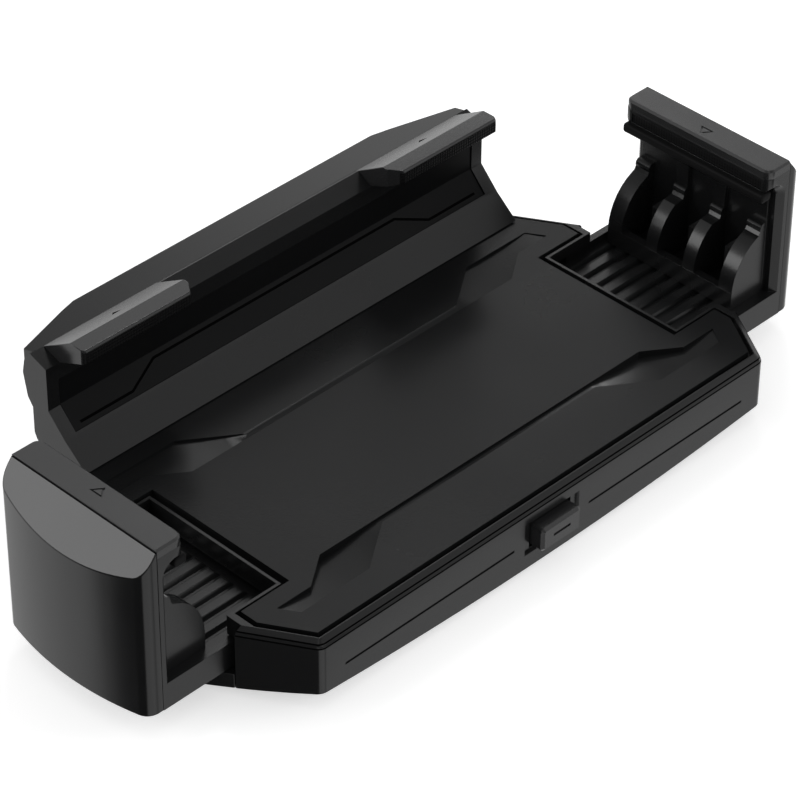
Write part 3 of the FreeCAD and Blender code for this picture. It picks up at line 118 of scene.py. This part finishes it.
# What glossy surfaces see, by level directions in the room and by height. Each step holds the two
# places that it runs between, and its level before the first and after the second.
TO_RIGHT = (0.701, -0.713, 0.0)
TO_FRONT = (-0.713, -0.701, 0.0)
STRIP = (0.1, 0.26, 1.0, 0.0)
SIDES = (0.4, 0.75, 0.0, 0.8)
SIDES_BY_HEIGHT = (0.6, 0.85, 1.0, 0.4)
GROUND = (-0.1, 0.0, 1.0, 0.0)
GROUND_TO_RIGHT = (0.3, 0.6, 1.0, 0.25)
LEAST_PALE = 0.35
DIM_TO_FRONT = (0.06, 0.28, 0.85, 0.05)
ABOVE_HORIZON = (0.0, 0.2, 0.0, 0.7)
RIGHT_STARTS = (-0.05, 0.12, 0.0, 1.0)
RIGHT_ENDS = (0.6, 0.78, 1.0, 0.3)

# The camera, solved from the holder's straight edges: place, lens and sensor in mm, the way it looks,
# the level direction to its right and its roll in degrees, and its clipping distances in metres
CAMERA_PLACE = (-405.44, -392.98, 457.54)
CAMERA_AHEAD = (0.5632, 0.5535, -0.6136)
CAMERA_RIGHT = -45.499
CAMERA_ROLL = 0.41
CAMERA_LENS = 169.06
CAMERA_SENSOR = 36.0
CAMERA_CLIP = (0.01, 20.0)


# Settings


class HolderSizes(bpy.types.PropertyGroup):
    edge: bpy.props.FloatProperty(
        name="Moulded edge", description="Rounding of ordinary moulded edges",
        default=0.22 * MM, min=0.0, unit="LENGTH",
    )
    soft_edge: bpy.props.FloatProperty(
        name="Soft edge", description="Rounding of the lip pads' edges",
        default=0.5 * MM, min=0.0, unit="LENGTH",
    )
    fine_edge: bpy.props.FloatProperty(
        name="Fine edge", description="Rounding of thin trim and small parts",
        default=0.1 * MM, min=0.0, unit="LENGTH",
    )
    line_width: bpy.props.FloatProperty(
        name="Panel line", description="Width of the line cut in the rear stop's panel",
        default=0.55 * MM, min=0.0, unit="LENGTH",
    )
    seam: bpy.props.FloatProperty(
        name="Rim seam", description="Width of the fine seams round the rim of the base",
        default=0.34 * MM, min=0.0, unit="LENGTH",
    )
    grain: bpy.props.FloatProperty(
        name="Grain scale", description="Grains per metre of the moulded plastic",
        default=2600.0, min=1.0,
    )


class HolderColours(bpy.types.PropertyGroup):
    shell: bpy.props.FloatVectorProperty(
        name="Shell", description="Base, arms and rear stop", subtype="COLOR", size=4,
        default=(0.009, 0.0092, 0.0095, 1.0), min=0.0, max=1.0,
    )
    grip: bpy.props.FloatVectorProperty(
        name="Grip", description="Outer grips and rear cover", subtype="COLOR", size=4,
        default=(0.006, 0.0061, 0.0064, 1.0), min=0.0, max=1.0,
    )
    trim: bpy.props.FloatVectorProperty(
        name="Trim", description="Caps, hooks and button", subtype="COLOR", size=4,
        default=(0.018, 0.0182, 0.0187, 1.0), min=0.0, max=1.0,
    )
    mat: bpy.props.FloatVectorProperty(
        name="Mat", description="Soft top mat", subtype="COLOR", size=4,
        default=(0.009, 0.0092, 0.0095, 1.0), min=0.0, max=1.0,
    )
    rubber: bpy.props.FloatVectorProperty(
        name="Pads", description="Dark bands and lip pads", subtype="COLOR", size=4,
        default=(0.006, 0.006, 0.0062, 1.0), min=0.0, max=1.0,
    )
    panel: bpy.props.FloatVectorProperty(
        name="Panel", description="Dark panel let into the rear stop", subtype="COLOR", size=4,
        default=(0.006, 0.0061, 0.0064, 1.0), min=0.0, max=1.0,
    )
    inner: bpy.props.FloatVectorProperty(
        name="Inner plastic", description="Racks, pinion and lock plate", subtype="COLOR", size=4,
        default=(0.32, 0.32, 0.31, 1.0), min=0.0, max=1.0,
    )
    steel: bpy.props.FloatVectorProperty(
        name="Steel", description="Pins, screws and spring", subtype="COLOR", size=4,
        default=(0.55, 0.56, 0.58, 1.0), min=0.0, max=1.0,
    )


# Shader groups and materials


def group_socket(tree, name, direction, value=None):
    """A number going into or out of a node group."""
    socket = tree.interface.new_socket(name=name, in_out=direction, socket_type="NodeSocketFloat")
    if value is not None:
        socket.default_value = value


def node_in(tree, kind, **settings):
    """A new node in a tree, with its settings."""
    node = tree.nodes.new(kind)
    for name, value in settings.items():
        setattr(node, name, value)
    return node


def ramp(tree, source, low, high, start, end):
    """A smooth step of one value, from one level to another."""
    step = node_in(tree, "ShaderNodeMapRange", interpolation_type="SMOOTHSTEP")
    for name, value in (("From Min", low), ("From Max", high), ("To Min", start), ("To Max", end)):
        step.inputs[name].default_value = value
    tree.links.new(source, step.inputs["Value"])
    return step.outputs["Result"]


def maths(tree, operation, first, second):
    """One operation on two values, each a number or another node's output."""
    node = node_in(tree, "ShaderNodeMath", operation=operation)
    for socket, value in zip(node.inputs, (first, second)):
        if isinstance(value, float):
            socket.default_value = value
        else:
            tree.links.new(value, socket)
    return node.outputs[0]


def moulded_grain_group():
    """Fine spark-eroded grain, with a slow cloud that varies the sheen."""
    found = bpy.data.node_groups.get("Moulded grain")
    if found:
        return found
    tree = bpy.data.node_groups.new("Moulded grain", "ShaderNodeTree")
    group_socket(tree, "Scale", "INPUT", 2600.0)
    group_socket(tree, "Low roughness", "INPUT", 0.35)
    group_socket(tree, "High roughness", "INPUT", 0.5)
    for name in ("Height", "Roughness", "Cloud"):
        group_socket(tree, name, "OUTPUT")
    entry = node_in(tree, "NodeGroupInput")
    leave = node_in(tree, "NodeGroupOutput")
    place = node_in(tree, "ShaderNodeTexCoord")
    grain = node_in(tree, "ShaderNodeTexNoise")
    grain.inputs["Detail"].default_value = GRAIN_DETAIL
    cloud = node_in(tree, "ShaderNodeTexNoise")
    cloud.inputs["Scale"].default_value = CLOUD_SCALE
    cloud.inputs["Detail"].default_value = CLOUD_DETAIL
    spread = node_in(tree, "ShaderNodeMapRange")
    spread.inputs["From Min"].default_value, spread.inputs["From Max"].default_value = CLOUD_RANGE
    tree.links.new(place.outputs["Object"], grain.inputs["Vector"])
    tree.links.new(entry.outputs["Scale"], grain.inputs["Scale"])
    tree.links.new(place.outputs["Object"], cloud.inputs["Vector"])
    tree.links.new(cloud.outputs["Fac"], spread.inputs["Value"])
    tree.links.new(entry.outputs["Low roughness"], spread.inputs["To Min"])
    tree.links.new(entry.outputs["High roughness"], spread.inputs["To Max"])
    tree.links.new(grain.outputs["Fac"], leave.inputs["Height"])
    tree.links.new(spread.outputs["Result"], leave.inputs["Roughness"])
    tree.links.new(cloud.outputs["Fac"], leave.inputs["Cloud"])
    return tree


def add_pimples(tree, shader, rise):
    """Rows of small round pimples on top of the grain."""
    dots = node_in(tree, "ShaderNodeTexVoronoi")
    dots.inputs["Scale"].default_value = PIMPLE_SCALE
    dots.inputs["Randomness"].default_value = 0.0
    place = node_in(tree, "ShaderNodeTexCoord")
    domes = node_in(tree, "ShaderNodeBump", invert=True)
    domes.inputs["Strength"].default_value = PIMPLE_BUMP
    domes.inputs["Distance"].default_value = PIMPLE_HEIGHT
    tree.links.new(place.outputs["Object"], dots.inputs["Vector"])
    tree.links.new(dots.outputs["Distance"], domes.inputs["Height"])
    tree.links.new(rise.outputs["Normal"], domes.inputs["Normal"])
    tree.links.new(domes.outputs["Normal"], shader.inputs["Normal"])


def moulded(name, colour, roughness, bump, specular=0.5, metallic=0.0, pimples=False):
    """A moulded finish: grain in the normal, with a cloud in the colour and the sheen."""
    found = bpy.data.materials.get(name)
    if found:
        return found
    material = bpy.data.materials.new(name)
    material.use_nodes = True
    tree = material.node_tree
    shader = tree.nodes["Principled BSDF"]
    shader.inputs["Specular IOR Level"].default_value = specular
    shader.inputs["Metallic"].default_value = metallic
    group = node_in(tree, "ShaderNodeGroup", node_tree=moulded_grain_group())
    group.inputs["Scale"].default_value = bpy.context.scene.holder_sizes.grain
    for socket, value in zip(("Low roughness", "High roughness"), roughness):
        group.inputs[socket].default_value = value
    tint = node_in(tree, "ShaderNodeMix", data_type="RGBA")
    tint.inputs["A"].default_value = [(1.0 - CLOUD_TINT) * part for part in colour[:3]] + [1.0]
    tint.inputs["B"].default_value = [(1.0 + CLOUD_TINT) * part for part in colour[:3]] + [1.0]
    rise = node_in(tree, "ShaderNodeBump")
    rise.inputs["Strength"].default_value = bump
    rise.inputs["Distance"].default_value = GRAIN_HEIGHT
    tree.links.new(group.outputs["Cloud"], tint.inputs["Factor"])
    tree.links.new(tint.outputs["Result"], shader.inputs["Base Color"])
    tree.links.new(group.outputs["Roughness"], shader.inputs["Roughness"])
    tree.links.new(group.outputs["Height"], rise.inputs["Height"])
    tree.links.new(rise.outputs["Normal"], shader.inputs["Normal"])
    if pimples:
        add_pimples(tree, shader, rise)
    return material


def shell_finish():
    colour = bpy.context.scene.holder_colours.shell
    return moulded("Housing plastic", colour, roughness=(0.2, 0.28), bump=0.15, specular=0.42)


def grip_finish():
    colour = bpy.context.scene.holder_colours.grip
    return moulded("Grip plastic", colour, roughness=(0.14, 0.2), bump=0.1, specular=0.4)


def trim_finish():
    colour = bpy.context.scene.holder_colours.trim
    return moulded("Trim plastic", colour, roughness=(0.2, 0.28), bump=0.12, specular=0.6)


def mat_finish():
    colour = bpy.context.scene.holder_colours.mat
    return moulded("Mat rubber", colour, roughness=(0.22, 0.28), bump=0.15, specular=0.18)


def rubber_finish():
    colour = bpy.context.scene.holder_colours.rubber
    return moulded("Pad rubber", colour, roughness=(0.55, 0.7), bump=0.5, specular=0.12)


def band_finish():
    colour = bpy.context.scene.holder_colours.rubber
    return moulded("Band rubber", colour, roughness=(0.5, 0.6), bump=0.2, specular=0.1, pimples=True)


def panel_finish():
    colour = bpy.context.scene.holder_colours.panel
    return moulded("Panel plastic", colour, roughness=(0.34, 0.44), bump=0.15, specular=0.1)


def inner_finish():
    colour = bpy.context.scene.holder_colours.inner
    return moulded("Inner plastic", colour, roughness=(0.4, 0.5), bump=0.2)


def steel_finish():
    colour = bpy.context.scene.holder_colours.steel
    return moulded("Plain steel", colour, roughness=(0.25, 0.4), bump=0.1, metallic=1.0)


# Painted shade: a near-black, rough finish with almost no sheen, for the faces inside cut grooves
def painted_shade_finish():
    return moulded("Painted groove shade", PAINTED_SHADE_COLOUR, roughness=(0.7, 0.85), bump=0.2, specular=0.02)


# Modelling helpers


def only(piece):
    """Select one object and make it active."""
    if bpy.context.object and bpy.context.object.mode != "OBJECT":
        bpy.ops.object.mode_set(mode="OBJECT")
    bpy.ops.object.select_all(action="DESELECT")
    piece.select_set(True)
    bpy.context.view_layer.objects.active = piece


def join_flat_faces(piece):
    """Merge doubled points and join faces that lie in one plane, without leaving hollow-sided ones."""
    only(piece)
    bpy.ops.object.mode_set(mode="EDIT")
    bpy.ops.mesh.select_all(action="SELECT")
    bpy.ops.mesh.remove_doubles(threshold=WELD)
    bpy.ops.mesh.dissolve_limited(angle_limit=math.radians(FLAT_WITHIN), delimit={"MATERIAL"})
    bpy.ops.mesh.select_all(action="SELECT")
    bpy.ops.mesh.vert_connect_concave()
    bpy.ops.object.mode_set(mode="OBJECT")


def copy_node(node):
    """A merged, tidy copy of a CAD node's mesh, to be finished by modifiers."""
    piece = bpy.data.objects.new(node + "_piece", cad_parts[node].data.copy())
    bpy.context.scene.collection.objects.link(piece)
    piece.data.materials.clear()
    join_flat_faces(piece)
    return piece


def apply_modifier(piece, modifier):
    only(piece)
    bpy.ops.object.modifier_apply(modifier=modifier.name)


def even_normals(piece):
    """Shade flat faces flat and let the rounded edges carry the turn."""
    only(piece)
    bpy.ops.object.shade_smooth_by_angle(angle=math.radians(SMOOTH_BELOW))
    normals = piece.modifiers.new("Normals", "WEIGHTED_NORMAL")
    normals.mode = "FACE_AREA"
    normals.weight = 100
    normals.keep_sharp = True
    apply_modifier(piece, normals)


def round_edges(piece, width, segments=2):
    """Round every edge that turns sharply."""
    bevel = piece.modifiers.new("Edges", "BEVEL")
    bevel.width = width
    bevel.segments = segments
    bevel.limit_method = "ANGLE"
    bevel.angle_limit = math.radians(ROUND_ABOVE)
    bevel.use_clamp_overlap = True
    apply_modifier(piece, bevel)
    even_normals(piece)


def finish_piece(piece, body, node, material):
    """Put a piece in its node's place, on its body, in its finish."""
    if piece.data.materials:
        piece.data.materials[0] = material
    else:
        piece.data.materials.append(material)
    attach(piece, body)
    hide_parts(node)


def dress(node, body, material, width):
    """Replace a CAD node by its copy with rounded edges."""
    piece = copy_node(node)
    round_edges(piece, width)
    finish_piece(piece, body, node, material)


def paint_node(node, material):
    """Give a CAD node that keeps its own mesh a better material."""
    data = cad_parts[node].data
    data.materials.clear()
    data.materials.append(material)


def cut_with(piece, cutter):
    """Cut a cutter out of a piece. The cut's own faces get a near-black finish that paints the shade inside
    the groove.
    """
    for item in (piece, cutter):
        if not item.data.materials:
            item.data.materials.append(shell_finish())
            item.data.materials.append(painted_shade_finish())
    # The cutter's faces take the painted shade finish, so the cut's inner faces come out painted dark
    for face in cutter.data.polygons:
        face.material_index = 1
    boolean = piece.modifiers.new("Cut", "BOOLEAN")
    boolean.operation = "DIFFERENCE"
    boolean.solver = "MANIFOLD"
    boolean.object = cutter
    apply_modifier(piece, boolean)
    bpy.data.objects.remove(cutter)
    join_flat_faces(piece)


def line_cutter(points, radius, closed=False):
    """A round bar along a run of points in mm, to engrave a line with."""
    curve = bpy.data.curves.new("line", "CURVE")
    curve.dimensions = "3D"
    curve.bevel_depth = radius
    curve.bevel_resolution = 2
    curve.use_fill_caps = True
    run = curve.splines.new("POLY")
    run.use_cyclic_u = closed
    run.points.add(len(points) - 1)
    for point, place in zip(run.points, points):
        point.co = [part * MM for part in place] + [1.0]
    cutter = bpy.data.objects.new("line", curve)
    bpy.context.scene.collection.objects.link(cutter)
    only(cutter)
    bpy.ops.object.convert(target="MESH")
    bpy.ops.object.mode_set(mode="EDIT")
    bpy.ops.mesh.select_all(action="SELECT")
    bpy.ops.mesh.remove_doubles(threshold=LINE_WELD)
    bpy.ops.object.mode_set(mode="OBJECT")
    return bpy.context.object


def rim_line(inset, height):
    """The base's plan moved in by an inset, in mm, with its front and rear corners rounded in steps."""
    slant = (BASE_END[0] - BASE_FRONT[0]) / (BASE_FRONT[1] - BASE_END[1])
    stretch = math.hypot(1.0, slant)
    full_turn = math.atan(1.0 / slant)
    corner_x = BASE_FRONT[0] - CORNER_ROUND * math.tan(full_turn / 2)
    corner_y = BASE_FRONT[1] - CORNER_ROUND
    reach = CORNER_ROUND - inset
    quarter = []
    for step in range(ROUND_STEPS + 1):
        turn = full_turn * step / ROUND_STEPS
        quarter.append((corner_x + reach * math.sin(turn), corner_y + reach * math.cos(turn)))
    quarter.append((BASE_END[0] - inset, BASE_END[1] - (stretch - 1.0) / slant * inset))
    right = quarter + [(across, -up) for across, up in reversed(quarter)]
    return [(x, y, height) for x, y in right + [(-across, up) for across, up in reversed(right)]]


def mark_cutter(sign):
    """A small three-sided prism that cuts the pointed mark into one hook's sloping top."""
    across, along, height = MARK_PLACE
    bpy.ops.object.select_all(action="DESELECT")
    bpy.ops.mesh.primitive_cylinder_add(
        vertices=3, radius=MARK_RADIUS * MM, depth=MARK_DEPTH * MM,
        location=Vector((sign * across, along, height)) * MM, rotation=(-HOOK_SLOPE, 0.0, 0.0),
    )
    cutter = bpy.context.object
    cutter.scale.x = MARK_STRETCH
    bpy.ops.object.transform_apply(location=False, rotation=False, scale=True)
    return cutter


# Pieces


class HOLDER_OT_base(bpy.types.Operator):
    """Dress the housing with its rim seams and the bottom cover, and finish the screws and pins"""

    bl_idname = "holder.base"
    bl_label = "Base"

    def execute(self, context):
        sizes = context.scene.holder_sizes
        housing = copy_node("upper_housing")
        round_edges(housing, sizes.edge)
        for inset, height in RIM_SEAMS:
            cut_with(housing, line_cutter(rim_line(inset, height), sizes.seam / 2, closed=True))
        even_normals(housing)
        finish_piece(housing, "base", "upper_housing", shell_finish())
        dress("bottom_cover", "base", shell_finish(), sizes.edge)
        for node in ("housing_screws", "pinion_axle", "hinge_pins"):
            paint_node(node, steel_finish())
        return {"FINISHED"}


class HOLDER_OT_mat(bpy.types.Operator):
    """Dress the soft top mat with its scooped recesses"""

    bl_idname = "holder.mat"
    bl_label = "Top mat"

    def execute(self, context):
        dress("top_mat", "base", mat_finish(), context.scene.holder_sizes.fine_edge)
        return {"FINISHED"}


class HOLDER_OT_release(bpy.types.Operator):
    """Dress the release button and finish the parts behind it"""

    bl_idname = "holder.release"
    bl_label = "Release button"

    def execute(self, context):
        sizes = context.scene.holder_sizes
        dress("release_button", "button", trim_finish(), sizes.fine_edge)
        paint_node("lock_plate", inner_finish())
        paint_node("button_spring", steel_finish())
        return {"FINISHED"}


class HOLDER_OT_drive(bpy.types.Operator):
    """Finish the pinion and the two racks"""

    bl_idname = "holder.drive"
    bl_label = "Drive"

    def execute(self, context):
        for node in ("pinion_gear", "right_rack", "left_rack"):
            paint_node(node, inner_finish())
        return {"FINISHED"}


class HOLDER_OT_clamps(bpy.types.Operator):
    """Dress both clamps: arm, cap, band, pad, back plate, cradle and grip"""

    bl_idname = "holder.clamps"
    bl_label = "Clamps"

    def execute(self, context):
        sizes = context.scene.holder_sizes
        across, along, height = GRIP_SEAM_END
        for side, sign in (("right", 1), ("left", -1)):
            body = side + "_clamp"
            dress(side + "_arm", body, shell_finish(), sizes.edge)
            dress(side + "_cap", body, trim_finish(), sizes.fine_edge)
            dress(side + "_lip_band", body, band_finish(), sizes.fine_edge)
            dress(side + "_lip_pad", body, rubber_finish(), sizes.soft_edge)
            dress(side + "_back_plate", body, shell_finish(), sizes.fine_edge)
            dress(side + "_rib_cradle", body, shell_finish(), sizes.edge)
            grip = copy_node(side + "_grip_shell")
            round_edges(grip, sizes.edge, segments=3)
            ends = [(sign * across, end * along, height) for end in (-1, 1)]
            cut_with(grip, line_cutter(ends, GRIP_SEAM_RADIUS * sizes.seam))
            even_normals(grip)
            finish_piece(grip, body, side + "_grip_shell", grip_finish())
        return {"FINISHED"}


class HOLDER_OT_rear_stop(bpy.types.Operator):
    """Dress the folding rear stop: shell, lined panel, back cover, hooks and bands"""

    bl_idname = "holder.rear_stop"
    bl_label = "Rear stop"

    def execute(self, context):
        sizes = context.scene.holder_sizes
        dress("flap_shell", "rear_stop", shell_finish(), sizes.edge)
        panel = copy_node("flap_panel")
        round_edges(panel, sizes.fine_edge)
        cut_with(panel, line_cutter(PANEL_LINE, sizes.line_width / 2))
        even_normals(panel)
        finish_piece(panel, "rear_stop", "flap_panel", panel_finish())
        dress("flap_back_cover", "rear_stop", grip_finish(), sizes.edge)
        for side, sign in (("right", 1), ("left", -1)):
            hook = copy_node(side + "_hook")
            round_edges(hook, sizes.edge)
            cut_with(hook, mark_cutter(sign))
            even_normals(hook)
            finish_piece(hook, "rear_stop", side + "_hook", trim_finish())
            dress(side + "_hook_band", "rear_stop", band_finish(), sizes.fine_edge)
        return {"FINISHED"}


# Stage


def area_lamp(name, place, aim, size, power, mirrored):
    """A soft rectangular lamp that points at a place."""
    bpy.ops.object.light_add(type="AREA", location=place)
    lamp = bpy.context.object
    lamp.name = name
    lamp.data.shape = "RECTANGLE"
    lamp.data.size, lamp.data.size_y = size
    lamp.data.energy = power
    way = Vector(aim) - Vector(place)
    lamp.rotation_euler = way.to_track_quat("-Z", "Y").to_euler()
    lamp.visible_glossy = mirrored


def pale_floor():
    """A level floor that takes the shadow; camera rays see it lifted to white, and gloss doesn't see it."""
    bpy.ops.object.select_all(action="DESELECT")
    bpy.ops.mesh.primitive_plane_add(size=FLOOR_SIZE)
    floor = bpy.context.object
    floor.name = "pale_floor"
    material = bpy.data.materials.new("Pale floor")
    material.use_nodes = True
    tree = material.node_tree
    shader = tree.nodes["Principled BSDF"]
    shader.inputs["Base Color"].default_value = (FLOOR_GREY, FLOOR_GREY, FLOOR_GREY, 1.0)
    shader.inputs["Roughness"].default_value = FLOOR_ROUGHNESS
    ways = node_in(tree, "ShaderNodeLightPath")
    lift = node_in(tree, "ShaderNodeEmission")
    added = maths(tree, "MULTIPLY", ways.outputs["Is Camera Ray"], FLOOR_LIFT)
    lit = node_in(tree, "ShaderNodeAddShader")
    tree.links.new(added, lift.inputs["Strength"])
    tree.links.new(shader.outputs[0], lit.inputs[0])
    tree.links.new(lift.outputs[0], lit.inputs[1])
    tree.links.new(lit.outputs[0], tree.nodes["Material Output"].inputs["Surface"])
    floor.visible_glossy = False
    floor.visible_transmission = False
    floor.data.materials.append(material)


def studio_sky(tree):
    """The surround that glossy rays see: a strip behind the object, pale sides and ground, a dim front."""
    place = node_in(tree, "ShaderNodeTexCoord")
    parts = node_in(tree, "ShaderNodeSeparateXYZ")
    tree.links.new(place.outputs["Generated"], parts.inputs["Vector"])
    up = parts.outputs["Z"]
    levels = []
    for way in (TO_RIGHT, TO_FRONT):
        along = node_in(tree, "ShaderNodeVectorMath", operation="DOT_PRODUCT")
        along.inputs[1].default_value = way
        tree.links.new(place.outputs["Generated"], along.inputs[0])
        levels.append(along.outputs["Value"])
    aside, front = levels
    off_line = maths(tree, "ABSOLUTE", aside, 0.0)
    strip = ramp(tree, off_line, *STRIP)
    sides = maths(tree, "MULTIPLY", ramp(tree, off_line, *SIDES), ramp(tree, up, *SIDES_BY_HEIGHT))
    below = ramp(tree, up, *GROUND)
    ground = maths(tree, "MULTIPLY", below, ramp(tree, aside, *GROUND_TO_RIGHT))
    pale = maths(tree, "MAXIMUM", maths(tree, "MAXIMUM", strip, sides), ground)
    pale = maths(tree, "ADD", maths(tree, "MULTIPLY", pale, 1.0 - LEAST_PALE), LEAST_PALE)
    dim = maths(tree, "MAXIMUM", ramp(tree, front, *DIM_TO_FRONT), ramp(tree, up, *ABOVE_HORIZON))
    room = maths(tree, "MULTIPLY", pale, dim)
    right = maths(tree, "MULTIPLY", ramp(tree, aside, *RIGHT_STARTS), ramp(tree, aside, *RIGHT_ENDS))
    return maths(tree, "MAXIMUM", room, maths(tree, "MULTIPLY", right, below))


def white_surround(scene):
    """White for the camera, a plain level for soft light, and the studio's surround for gloss."""
    world = bpy.data.worlds.new("White surround")
    scene.world = world
    world.use_nodes = True
    tree = world.node_tree
    back = tree.nodes["Background"]
    back.inputs["Color"].default_value = (1.0, 1.0, 1.0, 1.0)
    ways = node_in(tree, "ShaderNodeLightPath")
    shown = maths(tree, "MAXIMUM", ways.outputs["Is Camera Ray"], ways.outputs["Is Transmission Ray"])
    plain = node_in(tree, "ShaderNodeMapRange")
    plain.inputs["To Min"].default_value = SOFT_LEVEL
    choice = node_in(tree, "ShaderNodeMapRange")
    tree.links.new(shown, plain.inputs["Value"])
    tree.links.new(ways.outputs["Is Glossy Ray"], choice.inputs["Value"])
    tree.links.new(plain.outputs["Result"], choice.inputs["To Min"])
    tree.links.new(studio_sky(tree), choice.inputs["To Max"])
    tree.links.new(choice.outputs["Result"], back.inputs["Strength"])


def photo_camera(scene):
    """The photograph's viewpoint."""
    ahead = Vector(CAMERA_AHEAD).normalized()
    roll = math.radians(CAMERA_ROLL)
    heading = math.radians(CAMERA_RIGHT)
    right = Vector((math.cos(heading), math.sin(heading), 0.0))
    up = right.cross(ahead)
    across = right * math.cos(roll) + up * math.sin(roll)
    rise = -right * math.sin(roll) + up * math.cos(roll)
    bpy.ops.object.camera_add()
    camera = bpy.context.object
    turn = Matrix((across, rise, -ahead)).transposed().to_4x4()
    camera.matrix_world = Matrix.Translation(Vector(CAMERA_PLACE) * MM) @ turn
    camera.data.sensor_width = CAMERA_SENSOR
    camera.data.lens = CAMERA_LENS
    camera.data.clip_start, camera.data.clip_end = CAMERA_CLIP
    scene.camera = camera


class HOLDER_OT_stage(bpy.types.Operator):
    """Pale floor, soft lamps, white surround and the photograph's camera"""

    bl_idname = "holder.stage"
    bl_label = "Stage"

    def execute(self, context):
        context.scene.view_settings.view_transform = "Standard"
        pale_floor()
        white_surround(context.scene)
        for lamp in LAMPS:
            area_lamp(*lamp)
        photo_camera(context.scene)
        return {"FINISHED"}


# Panel and registration


class HOLDER_PT_panel(bpy.types.Panel):
    """Lists the holder's pieces in the sidebar"""

    bl_idname = "HOLDER_PT_panel"
    bl_label = "Phone Holder"
    bl_space_type = "VIEW_3D"
    bl_region_type = "UI"
    bl_category = "Phone Holder"

    def draw(self, context):
        column = self.layout.column()
        for operator in PIECES:
            column.operator(operator.bl_idname)
        for group in (context.scene.holder_sizes, context.scene.holder_colours):
            for name in group.__annotations__:
                column.prop(group, name)


PIECES = (
    HOLDER_OT_base,
    HOLDER_OT_mat,
    HOLDER_OT_release,
    HOLDER_OT_drive,
    HOLDER_OT_clamps,
    HOLDER_OT_rear_stop,
    HOLDER_OT_stage,
)
CLASSES = (HolderSizes, HolderColours) + PIECES + (HOLDER_PT_panel,)


def register():
    for item in CLASSES:
        bpy.utils.register_class(item)
    bpy.types.Scene.holder_sizes = bpy.props.PointerProperty(type=HolderSizes)
    bpy.types.Scene.holder_colours = bpy.props.PointerProperty(type=HolderColours)


def unregister():
    del bpy.types.Scene.holder_colours
    del bpy.types.Scene.holder_sizes
    for item in reversed(CLASSES):
        bpy.utils.unregister_class(item)


def main():
    register()
    bpy.ops.object.select_all(action="DESELECT")
    bpy.ops.holder.base()
    bpy.ops.holder.mat()
    bpy.ops.holder.release()
    bpy.ops.holder.drive()
    bpy.ops.holder.clamps()
    bpy.ops.holder.rear_stop()
    bpy.ops.holder.stage()


if __name__ == "__main__":
    main()
